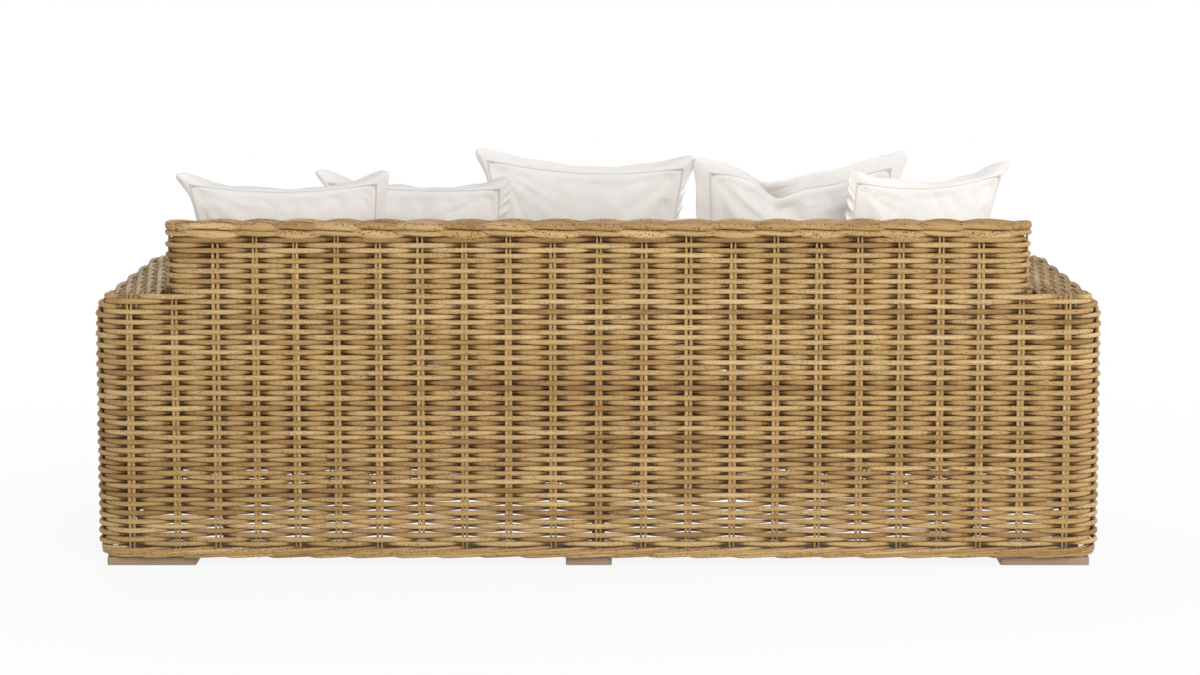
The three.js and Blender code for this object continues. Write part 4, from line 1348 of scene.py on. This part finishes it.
def cord_round(name, path, out, radius):
    """A closed round cord along a ring of points, such as piping."""
    n, sides = len(path), 8
    step = np.roll(path, -1, axis=0) - np.roll(path, 1, axis=0)
    step /= np.linalg.norm(step, axis=1, keepdims=True)
    up = np.cross(step, out)
    up /= np.linalg.norm(up, axis=1, keepdims=True)
    turn = np.arange(sides) / sides * 2 * math.pi
    ring = (path[:, None, :] + radius * (out[:, None, :] * np.cos(turn)[None, :, None]
                                         + up[:, None, :] * np.sin(turn)[None, :, None]))
    here = np.arange(n * sides).reshape(n, sides)
    ahead = np.roll(here, -1, axis=0)
    faces = np.stack([here, np.roll(here, -1, axis=1), np.roll(ahead, -1, axis=1), ahead], axis=-1)
    pattern = vectors(run_along(path)[:, None], np.arange(sides) * radius, 0.0)
    return cloth_mesh(name, ring.reshape(-1, 3), faces.reshape(-1, 4), pattern.reshape(-1, 3))


def eased(count, reach):
    """Places from -1 to 1 that lie closer together towards the ends. They crowd there most with a
    reach of 2 and less with a higher one."""
    return np.sin(np.linspace(-1, 1, count + 1) * math.pi / reach) / math.sin(math.pi / reach)


def grid_quads(ids):
    return np.stack([ids[:-1, :-1], ids[1:, :-1], ids[1:, 1:], ids[:-1, 1:]], axis=-1).reshape(-1, 4)


class SOFA_OT_seat_cushions(Build):
    """Sew and fill the three boxed seat cushions"""
    bl_idname = "sofa.seat_cushions"
    bl_label = "Seat cushions"

    PULL = 0.016
    CORNER = 0.016
    SIDE_GAP = 0.0012
    FOOT_GAP = 0.0006
    CROWN_ROOM = 0.006
    CORD_OUT = 0.35
    CROWDED = 2.4
    SHRUNK = (0.985, 0.985, 0.97)
    TOP_FROM = 0.12

    def make(self, scene):
        soft = self.soft
        made = []
        for word in ("left", "middle", "right"):
            node_name = f"seat_cushion_{word}"
            grid = self.grid(*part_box(node_name))
            middle = grid["middle"]
            points = (grid["form"] - middle) * self.SHRUNK + middle
            held = range(grid["count"], 2 * grid["count"])
            made.append((node_name, grid, held_piece(node_name + "_cover", points, grid, held)))
        settled = settle([piece for _, _, piece in made], soft, scene)
        for k, ((node_name, grid, piece), points) in enumerate(zip(made, settled)):
            first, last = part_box(node_name)
            points = held_back(points, grid["form"], soft.cushion_cap)
            points += self.dimples(points, grid, k)
            points = np.clip(points, np.array(first) + (self.SIDE_GAP, self.SIDE_GAP, self.FOOT_GAP),
                             np.array(last) + (-self.SIDE_GAP, -self.SIDE_GAP, self.CROWN_ROOM))
            shape_piece(piece, points)
            cords = []
            for name in ("top", "bottom"):
                ring = points[grid[name]]
                out = (ring - grid["middle"]) * (1, 1, 0)
                out /= np.linalg.norm(out, axis=1, keepdims=True)
                ring = ring + out * soft.piping * self.CORD_OUT
                ring[:, 2] = np.maximum(ring[:, 2], first.z + soft.piping)
                cords.append(cord_round(f"{node_name}_{name}_cord", ring, out, soft.piping))
            join_into(piece, cords)
            place(piece, node_name, "linen", node_name)

    def outline(self, size, u, v, drop):
        """Plan places of the cushion, whose sides pull in between round corners."""
        inset = self.CORNER * np.abs(u * v) ** 16 + drop
        x = u * (size.x / 2 * (1 - self.PULL * (1 - v * v)) - inset)
        y = v * (size.y / 2 * (1 - self.PULL * (1 - u * u)) - inset)
        return x, y

    def grid(self, first, last):
        """The points, faces and cut pattern of a boxed cushion, and its rings for the piping. The
        points are those of the top, the bottom and the rows of the border between them."""
        soft = self.soft
        size, drop = last - first, soft.cushion_drop
        u, v = (eased(round(side / soft.cell), self.CROWDED) for side in (size.x, size.y))
        u, v = np.meshgrid(u, v, indexing="ij")
        edge_top = size.z - soft.cushion_crown - drop
        crown = (1 - u ** 4) * (1 - v ** 4)
        x, y = self.outline(size, u, v, drop)
        height = edge_top + drop * np.sqrt(crown) + soft.cushion_crown * crown
        top = vectors(x, y, height).reshape(-1, 3)
        count = u.size
        ids = np.arange(count).reshape(u.shape)
        ring = np.concatenate([ids[:-1, 0], ids[-1, :-1], ids[:0:-1, -1], ids[0, :0:-1]])
        run = run_along(top[ring])
        points = [top, top * (1, 1, 0)]
        pattern = [top * (1, 1, 0), top * (1, 1, 0) + (0, 0, 0.1)]
        rings = [ring + count]
        rows = max(4, round(edge_top / soft.cell))
        for k in range(1, rows):
            layer = 2 * k / rows - 1
            height = edge_top * (layer + 1) / 2
            row = self.outline(size, u.ravel()[ring], v.ravel()[ring], drop * abs(layer) ** 2)
            points.append(vectors(*row, height))
            pattern.append(vectors(run, height, 0.2))
            rings.append(2 * count + (k - 1) * len(ring) + np.arange(len(ring)))
        rings.append(ring)
        quad = grid_quads(ids)
        faces = [quad, quad[:, ::-1] + count]
        for below, above in zip(rings[:-1], rings[1:]):
            faces.append(np.stack([below, np.roll(below, -1), np.roll(above, -1), above], axis=-1))
        middle = np.array([(first.x + last.x) / 2, (first.y + last.y) / 2, first.z])
        return {
            "form": np.concatenate(points) + middle, "faces": np.concatenate(faces),
            "pattern": np.concatenate(pattern), "top": ring, "bottom": ring + count, "count": count,
            "middle": middle, "half": (size.x / 2, size.y / 2),
        }

    def dimples(self, points, grid, seed):
        """Soft unevenness of the filling under the top."""
        middle = grid["middle"]
        rng = np.random.default_rng((71, seed))
        x, y = ((points[:, axis] - middle[axis]) / grid["half"][axis] for axis in (0, 1))
        move = np.zeros_like(points)
        for _ in range(7):
            way = rng.uniform(0, math.pi)
            pace = rng.uniform(2.0, 5.5)
            wave = np.sin((x * math.cos(way) + y * math.sin(way)) * pace + rng.uniform(0, 6.28))
            move[:, 2] += wave * UNEVEN
        move[:, 2] *= points[:, 2] > middle[2] + self.TOP_FROM
        return move


class Pillow(NamedTuple):
    """How one scatter pillow stands and is folded. Sides are named as the sitter sees them, and run
    left, right, top, bottom. A fold is how far that side of the flange turns away from the wall
    behind it, in degrees; negative values turn it towards the wall. A sag is how far the middle of
    a side is drawn in, as a share of half the pillow. Pleats gather a side of the flange. The twist,
    in degrees, turns the top fold further towards the right. The chop is a dip struck into the top:
    its place from -1 to 1 and its depth."""
    size: str
    turn: float
    roll: float
    folds: tuple
    sags: tuple
    flange: float = None
    pleats: tuple = (0, 0, 0, 0)
    twist: float = 0
    chop: tuple = None


PILLOWS = {
    "far_left": Pillow("medium", 0, 0.3, (80, 6, 84, 20), (0.11, 0, 0.05, 0)),
    "far_right": Pillow("medium", 34, 0, (-8, 74, 42, 20), (0, 0.07, 0.08, 0),
                        pleats=(0.0050, 0, 0, 0), twist=40),
    "left": Pillow("small", -12, -1.2, (76, 10, 84, 20), (0.08, 0.02, 0.01, 0),
                   pleats=(0, 0.0030, 0, 0)),
    "right": Pillow("large", 12, 0.8, (4, 16, 8, 20), (0, 0.03, 0.02, 0), flange=0.036,
                    chop=(0.235, 0.052)),
    "middle": Pillow("large", -4, -2.2, (62, 56, 30, 20), (0.08, 0.05, 0.06, 0),
                     pleats=(0, 0.0040, 0, 0), twist=26),
}


class SOFA_OT_scatter_pillows(Build):
    """Sew and fill the five scatter pillows with their flanges"""
    bl_idname = "sofa.scatter_pillows"
    bl_label = "Scatter pillows"

    PULL = 0.075
    POWER = 0.62
    CELLS = 46
    ROUND = 0.10
    FLAT = 0.84
    CROWDED = 2.6
    SEAM_SHADE_BAND = 0.014
    SEAM_HOLD = 0.16
    SPARE = 0.003
    HALF_CLOTH = 0.004
    CHOP_WIDTH, CHOP_POWER = 0.25, 1.5
    SECOND_DENT, SECOND_PLACE, SECOND_WIDTH = 0.5, 0.52, 0.42
    VALLEY_SLOPE, VALLEY_WIDTH, VALLEY_DEPTH = 0.42, 0.13, 0.020
    CORNER_FOLDS = 5
    CROSS_FOLDS = 14
    WAVES = 7
    SIDE_PLEATS = 17
    CORNER_CALM = 0.30
    EDGE_WAVE = 0.0016
    TIP = 0.008
    HEM = 0.55
    INSIDE_SHADE = 0.9
    FLANGE_CELLS = 144
    FLANGE_ROWS = np.array([-0.30, 0.0, 0.07, 0.3, 0.62, 0.88, 1.0])

    def make(self, scene):
        made = []
        for word, pillow in PILLOWS.items():
            size = getattr(self.soft, pillow.size)
            grid = self.grid(size, pillow)
            # Painted shade along the seam, over a narrow band.
            seam = np.clip(1 - grid["edge"] / self.SEAM_SHADE_BAND, 0, 1)
            points = grid["form"] * (1, self.FLAT, 1)
            piece = held_piece(f"pillow_{word}_cover", points, grid, grid["seam"], seam)
            made.append((word, pillow, size, grid, piece))
        settled = settle([row[-1] for row in made], self.soft, scene)
        for seed, ((word, pillow, size, grid, piece), points) in enumerate(zip(made, settled)):
            points = self.trimmed(points, grid)
            points += self.creases(grid, seed)
            shape_piece(piece, self.chopped(points, pillow, grid["u"], grid["v"]))
            join_into(piece, [self.flange(f"pillow_{word}_flange", size, seed, pillow)])
            piece.data.transform(self.stand(f"pillow_{word}", size, pillow))
            place(piece, f"pillow_{word}", "linen", f"pillow_{word}")

    def solid_form(self, size, u, v, layer):
        """The filled form, as the solid has it, for u and v from -1 to 1."""
        soft = self.soft
        inner = 1 - 2 * soft.flange / size
        pull_u = 1 - self.PULL * (1 - v * v) * u * u
        pull_v = 1 - np.where(v > 0, self.PULL * (1 - u * u) * v * v, 0)
        a, b = (np.minimum(1, np.abs(w) / inner) for w in (u, v))
        crown = ((1 - a * a) * (1 - b * b)) ** self.POWER
        swell = np.where(layer > 0, soft.back_crown, soft.front_crown)
        return np.stack([u * size / 2 * pull_u, layer * swell * crown, v * size / 2 * pull_v], axis=-1)

    def form(self, size, pillow, u, v, layer):
        """The same form with the sides of this pillow drawn in further."""
        points = self.solid_form(size, u, v, layer)
        left, right, top, bottom = pillow.sags
        for axis, w, other, plus, minus in ((0, u, v, left, right), (2, v, u, top, bottom)):
            sag = np.where(w > 0, plus, minus) * (1 - other * other) ** 1.4 * np.abs(w) ** 2.5
            points[..., axis] -= np.sign(w) * sag * size / 2
        return points

    def chopped(self, points, pillow, u, v):
        """Dents the top of a pillow and runs a valley down from the dent."""
        if pillow.chop is None:
            return points
        at, dip = pillow.chop
        points = points.copy()
        fall = smooth_step((v - 0.05) / 0.95)
        chop = np.exp(-np.abs((u - at) / self.CHOP_WIDTH) ** self.CHOP_POWER)
        second = np.exp(-((u - at + self.SECOND_PLACE) / self.SECOND_WIDTH) ** 2)
        points[:, 2] -= dip * (chop + self.SECOND_DENT * second) * fall
        line = at - self.VALLEY_SLOPE * (1 - v)
        ends = np.clip((1 - np.abs(v)) * 5, 0, 1)
        valley = np.exp(-((u - line) / self.VALLEY_WIDTH) ** 2) * smooth_step((v + 0.2) / 0.7) * ends
        points[:, 1] -= np.sign(points[:, 1]) * valley * self.VALLEY_DEPTH
        return points

    def stand(self, node_name, size, pillow):
        """The matrix that stands a pillow where its solid stands."""
        lean = Matrix.Rotation(-self.soft.lean, 4, "X")
        matrix = (Matrix.Rotation(math.radians(pillow.turn), 4, "Z") @ lean
                  @ Matrix.Rotation(math.radians(pillow.roll), 4, "Y"))
        u, v = np.meshgrid(np.linspace(-1, 1, 41), np.linspace(-1, 1, 41))
        points = np.concatenate([self.solid_form(size, u, v, layer).reshape(-1, 3)
                                 + (0, layer * self.HALF_CLOTH, 0) for layer in (1, -1)])
        points = points @ np.array(matrix.to_3x3()).T
        middle = Vector((points.min(0) + points.max(0)) / 2)
        first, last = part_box(node_name)
        return Matrix.Translation((first + last) / 2 - middle) @ matrix

    def inner_share(self, size, pillow):
        return 1 - 2 * (pillow.flange or self.soft.flange) / size

    def grid(self, size, pillow):
        """Both faces of the cover, joined along the seam."""
        inner = self.inner_share(size, pillow)
        n = self.CELLS
        u, v = np.meshgrid(*[eased(n, self.CROWDED) * inner] * 2, indexing="ij")
        ids = np.arange(u.size).reshape(u.shape)
        rim = np.ones_like(ids, dtype=bool)
        rim[1:-1, 1:-1] = False
        inside = ~rim.ravel()
        other = ids.ravel().copy()
        other[inside] = ids.size + np.arange(inside.sum())
        quad = grid_quads(ids)[:, [0, 3, 2, 1]]
        twin = grid_quads(other.reshape(ids.shape))
        grow = (1 - 2 * self.soft.flange / size) / inner
        faces = []
        for layer in (1, -1):
            face = self.form(size, pillow, u, v, layer)
            face[..., 1] = self.solid_form(size, u * grow, v * grow, layer)[..., 1]
            faces.append(face.reshape(-1, 3))
        flat = vectors(u.ravel() * size / 2, v.ravel() * size / 2, 0.0)
        u, v = (np.concatenate([w.ravel(), w.ravel()[inside]]) / inner for w in (u, v))
        return {
            "form": np.concatenate([faces[0], faces[1][inside]]), "faces": np.concatenate([quad, twin]),
            "pattern": np.concatenate([flat, flat[inside] + (0, 0, 0.1)]),
            "layer": np.concatenate([np.where(rim.ravel(), 0, 1), -np.ones(inside.sum())]),
            "u": u, "v": v, "edge": np.minimum(1 - np.abs(u), 1 - np.abs(v)), "seam": ids[rim].tolist(),
        }

    def trimmed(self, points, grid):
        """The settled cover, no further from its form than the cap and no fatter than its solid."""
        form = grid["form"]
        for layer in (1, -1):
            face = grid["layer"] == layer
            most = np.abs(form[face, 1]).max()
            points[face, 1] *= most / max(np.abs(points[face, 1]).max(), 1e-6)
        points = held_back(points, form, self.soft.pillow_cap)
        points = form + (points - form) * smooth_step(grid["edge"] / self.SEAM_HOLD)[:, None]
        room = np.abs(form[:, 1]) + self.SPARE
        points[:, 1] = np.clip(points[:, 1], -room, room)
        return points

    def creases(self, grid, seed):
        """Folds that run in from the corners and across from the seams."""
        rng = np.random.default_rng((83, seed))
        u, v = grid["u"], grid["v"]
        depth = np.zeros(len(u))
        for cu in (-1, 1):
            for cv in (-1, 1):
                du, dv = 1 - cu * u, 1 - cv * v
                reach = np.hypot(du, dv)
                turn = np.arctan2(dv, du)
                for at in (np.linspace(0.2, 1.37, self.CORNER_FOLDS)
                           + rng.normal(0, 0.09, self.CORNER_FOLDS)):
                    width = rng.uniform(0.05, 0.09)
                    long = rng.uniform(0.4, 0.9)
                    bent = turn + rng.normal(0, 0.12) * reach
                    fold = np.exp(-((bent - at) / width) ** 2) * np.exp(-((reach - 0.30) / long) ** 2)
                    depth += fold * rng.choice((-1, 1), p=(0.7, 0.3)) * rng.uniform(0.0025, 0.0055)
        for _ in range(self.CROSS_FOLDS):
            cu, cv = rng.uniform(-0.8, 0.8, 2)
            way = rng.normal(0.5, 0.5) * rng.choice((-1, 1))
            along = (u - cu) * math.cos(way) + (v - cv) * math.sin(way)
            across = (v - cv) * math.cos(way) - (u - cu) * math.sin(way) + 0.15 * along ** 2
            long = rng.uniform(0.15, 0.4)
            depth -= (np.exp(-(across / rng.uniform(0.022, 0.045)) ** 2) * np.exp(-(along / long) ** 2)
                      * rng.uniform(0.0010, 0.0026))
        for _ in range(6):
            way = rng.uniform(0, math.pi)
            pace = rng.uniform(3, 8)
            phase = (u * math.cos(way) + v * math.sin(way)) * pace + rng.uniform(0, 6.28)
            depth += np.sin(phase) * UNEVEN
        edge = np.clip((1 - np.abs(u)) * (1 - np.abs(v)) * 9, 0, 1)
        return vectors(0.0, depth * edge * grid["layer"], 0.0)

    def flange(self, name, size, seed, pillow):
        """The flat band outside the seam: two layers of cloth, folded and waved along each side."""
        soft = self.soft
        inner = self.inner_share(size, pillow)
        rng = np.random.default_rng((97, seed))
        t = np.linspace(-1, 1, self.FLANGE_CELLS + 1)[:-1]
        ones = np.ones(self.FLANGE_CELLS)
        square = np.concatenate([np.stack(pair, -1)
                                 for pair in ((t, -ones), (ones, t), (-t, ones), (-ones, -t))])
        u, v = square.T
        n, rows = len(square), self.FLANGE_ROWS
        core = np.clip(square, -1 + self.ROUND, 1 - self.ROUND)
        past_core = square - core
        far = np.linalg.norm(past_core, axis=1, keepdims=True)
        rounded = core + past_core / np.maximum(far, 1e-9) * self.ROUND
        run = np.arange(n) / n
        shares = np.stack([np.maximum(0, w) ** 24 for w in (u, -u, v, -v)])
        shares /= shares.sum(axis=0)
        flat_tip = smooth_step((1 - np.minimum(np.abs(u), np.abs(v))) / self.CORNER_CALM)
        fold = sum(w * math.radians(angle) for w, angle in zip(shares, pillow.folds))
        fold = (fold - shares[2] * u * math.radians(pillow.twist)) * flat_tip
        wave = np.zeros(n)
        for _ in range(self.WAVES):
            pace = rng.integers(5, 27)
            wave += (np.sin(2 * math.pi * (run * pace + rng.random())) * rng.uniform(0.3, 1.0)
                     / math.sqrt(pace / 8))
        wave *= soft.ripple / max(np.abs(wave).max(), 1e-6)
        gather = sum(w * depth for w, depth in zip(shares, pillow.pleats)) * flat_tip
        pleat = 1 - 2 * np.abs(np.sin(math.pi * run * 4 * self.SIDE_PLEATS + 0.6 * np.sin(run * 90)))
        edge_wave = self.EDGE_WAVE * (np.sin(2 * math.pi * (run * 19 + seed * 0.3))
                                      + np.cos(2 * math.pi * (run * 7)))
        seam = self.form(size, pillow, u * inner, v * inner, 0)
        reach = self.form(size, pillow, *rounded.T, 0) - seam
        long = np.linalg.norm(reach, axis=1, keepdims=True)
        way = reach / long
        away = np.array([0.0, -1.0, 0.0])
        rings = []
        for layer in (1, -1):
            for r in rows:
                past = max(0.0, r)
                turn = (fold * (min(1.0, past * 1.6 + 0.2) if r > 0 else 0.0))[:, None]
                line = way * np.cos(turn) + away * np.sin(turn)
                normal = -away * np.cos(turn) + way * np.sin(turn)
                tip = ((np.abs(u * v)) ** 10)[:, None] * self.TIP * past
                ring = seam + line * (long * r + edge_wave[:, None] * past + tip)
                thick = soft.cloth / 2 * (self.HEM if r == rows[-1] else 1.0)
                lifted = wave * past ** 1.3 + gather * pleat * past ** 0.5
                ring = ring + normal * (lifted[:, None] + layer * thick)
                rings.append(self.chopped(ring, pillow, u * 0.98 - 0.09 * past,
                                          v * (0.98 - 0.26 * past)))
        front = np.arange(len(rows) * n).reshape(len(rows), n)
        ahead = np.roll(front, -1, axis=1)
        back, back_ahead = front + front.size, ahead + front.size
        outer = np.stack([front[:-1], front[1:], ahead[1:], ahead[:-1]], axis=-1).reshape(-1, 4)
        last = np.stack([front[-1], back[-1], back_ahead[-1], ahead[-1]], axis=-1)
        first = np.stack([front[0], ahead[0], back_ahead[0], back[0]], axis=-1)
        faces = np.concatenate([outer, outer[:, ::-1] + front.size, last, first])
        stretch = (inner + (1 - inner) * rows)[:, None]
        pattern = vectors(u * stretch * size / 2, v * stretch * size / 2, 0.0).reshape(-1, 3)
        # The rows of the flange inside the cover get painted shade.
        near = np.repeat(np.where(rows <= 0, self.INSIDE_SHADE, 0.0), n)
        return cloth_mesh(name, np.concatenate(rings), faces, np.tile(pattern, (2, 1)),
                          np.tile(near, 2))


class SOFA_OT_stage(Build):
    """Set up the floor, the lamps and the camera"""
    bl_idname = "sofa.stage"
    bl_label = "Stage"

    REACH = 30.0
    SUNK = 0.0005
    GLOW_FROM, GLOW_TO = 1.2, 3.2
    LOOK_AT = Vector((0, 0, 0.4))

    def make(self, scene):
        stage = scene.sofa_stage
        self.floor(stage)
        self.world(scene, stage)
        self.lamps(stage)
        eye = bpy.data.cameras.new("camera")
        eye.lens = stage.lens
        eye.sensor_width = 36.0
        eye.clip_end = 100.0
        camera = new_object("camera", eye)
        camera.location = (stage.side, stage.distance, stage.height)
        camera.rotation_euler = Euler((math.pi / 2 - stage.dip, 0, math.pi))
        scene.camera = camera
        scene.view_settings.view_transform = "Standard"

    def floor(self, stage):
        """A pale floor that shows as plain white further out."""
        reach = self.REACH
        mesh = bpy.data.meshes.new("floor")
        corners = [(x * reach, y * reach, 0) for x, y in ((-1, -1), (1, -1), (1, 1), (-1, 1))]
        mesh.from_pydata(corners, [], [(0, 1, 2, 3)])
        floor = new_object("floor", mesh)
        floor.location.z = -self.SUNK
        made, tree, shader = new_material("Floor")
        shader.inputs["Base Color"].default_value = (0.86, 0.86, 0.86, 1)
        shader.inputs["Roughness"].default_value = 0.9
        path = tree.nodes.new("ShaderNodeLightPath").outputs
        seen = maths("MAXIMUM", Term(path["Is Camera Ray"]), path["Is Glossy Ray"])
        seen = maths("MAXIMUM", seen, path["Is Transmission Ray"])
        where = node(tree, "ShaderNodeNewGeometry").outputs["Position"]
        away = node(tree, "ShaderNodeVectorMath", {0: where}, operation="LENGTH").outputs["Value"]
        near = ramp(Term(away), self.GLOW_FROM, self.GLOW_TO, stage.floor_glow, 1.0)
        glow = node(tree, "ShaderNodeEmission", {"Color": WHITE, "Strength": 1.0})
        both = node(tree, "ShaderNodeMixShader", {
            0: seen * near, 1: shader.outputs[0], 2: glow.outputs[0],
        })
        tree.links.new(both.outputs[0], tree.nodes["Material Output"].inputs["Surface"])
        mesh.materials.append(made)

    def world(self, scene, stage):
        """A soft sky, strongest at the horizon, that the camera sees as plain white."""
        world = bpy.data.worlds.new("Studio")
        scene.world = world
        world.use_nodes = True
        tree = world.node_tree
        back = tree.nodes["Background"]
        way = tree.nodes.new("ShaderNodeTexCoord").outputs["Generated"]
        height = Term(node(tree, "ShaderNodeSeparateXYZ", {0: way}).outputs["Z"])
        power = ramp(height, 0.0, 0.9, 1.0, 0.0) * stage.sky_rim + stage.sky
        back.inputs["Color"].default_value = WHITE
        tree.links.new(power.socket, back.inputs["Strength"])
        seen = node(tree, "ShaderNodeBackground", {"Color": WHITE, "Strength": 1.0})
        path = tree.nodes.new("ShaderNodeLightPath")
        both = node(tree, "ShaderNodeMixShader", {
            0: path.outputs["Is Camera Ray"], 1: back.outputs[0], 2: seen.outputs[0],
        })
        tree.links.new(both.outputs[0], tree.nodes["World Output"].inputs["Surface"])

    def lamps(self, stage):
        """Two lamps along the sofa's middle and one at each end, all turned to its middle."""
        for name, where, power, size in (
                ("key_back", (-1.3, 5.5, 3.0), stage.key_power, 3.0),
                ("key_front", (1.0, -4.2, 3.9), stage.key_power * 0.6, 3.0),
                ("fill_left", (5.2, 0.8, 2.0), stage.fill_power * 0.35, 2.6),
                ("fill_right", (-5.2, -0.4, 2.0), stage.fill_power * 1.45, 2.6)):
            lamp = bpy.data.lights.new(name, "AREA")
            lamp.energy = power
            lamp.size = size
            thing = new_object(name, lamp)
            thing.location = where
            thing.rotation_euler = (self.LOOK_AT - Vector(where)).to_track_quat("-Z", "Y").to_euler()


class SOFA_PT_panel(bpy.types.Panel):
    """Buttons for every piece"""
    bl_label = "Sofa"
    bl_idname = "SOFA_PT_panel"
    bl_space_type = "VIEW_3D"
    bl_region_type = "UI"
    bl_category = "Sofa"

    def draw(self, context):
        for operator in OPERATORS:
            self.layout.operator(operator.bl_idname)


OPERATORS = (
    SOFA_OT_back_weave,
    SOFA_OT_arm_weave,
    SOFA_OT_arm_tops,
    SOFA_OT_front_apron,
    SOFA_OT_inner_back,
    SOFA_OT_raised_back,
    SOFA_OT_back_rim,
    SOFA_OT_base_border,
    SOFA_OT_feet,
    SOFA_OT_frame_tubes,
    SOFA_OT_seat_deck,
    SOFA_OT_seat_cushions,
    SOFA_OT_scatter_pillows,
    SOFA_OT_stage,
)
SETTINGS = (
    ("sofa_weave", WeaveSettings),
    ("sofa_border", BorderSettings),
    ("sofa_soft", SoftSettings),
    ("sofa_colours", ColourSettings),
    ("sofa_stage", StageSettings),
)


def register():
    for _, kind in SETTINGS:
        bpy.utils.register_class(kind)
    for kind in (*OPERATORS, SOFA_PT_panel):
        bpy.utils.register_class(kind)
    for name, kind in SETTINGS:
        setattr(bpy.types.Scene, name, PointerProperty(type=kind))


def unregister():
    for name, _ in SETTINGS:
        delattr(bpy.types.Scene, name)
    for kind in (SOFA_PT_panel, *reversed(OPERATORS)):
        bpy.utils.unregister_class(kind)
    for _, kind in reversed(SETTINGS):
        bpy.utils.unregister_class(kind)


def main():
    register()
    for operator in OPERATORS:
        group, name = operator.bl_idname.split(".")
        getattr(getattr(bpy.ops, group), name)()


if __name__ == "__main__":
    main()
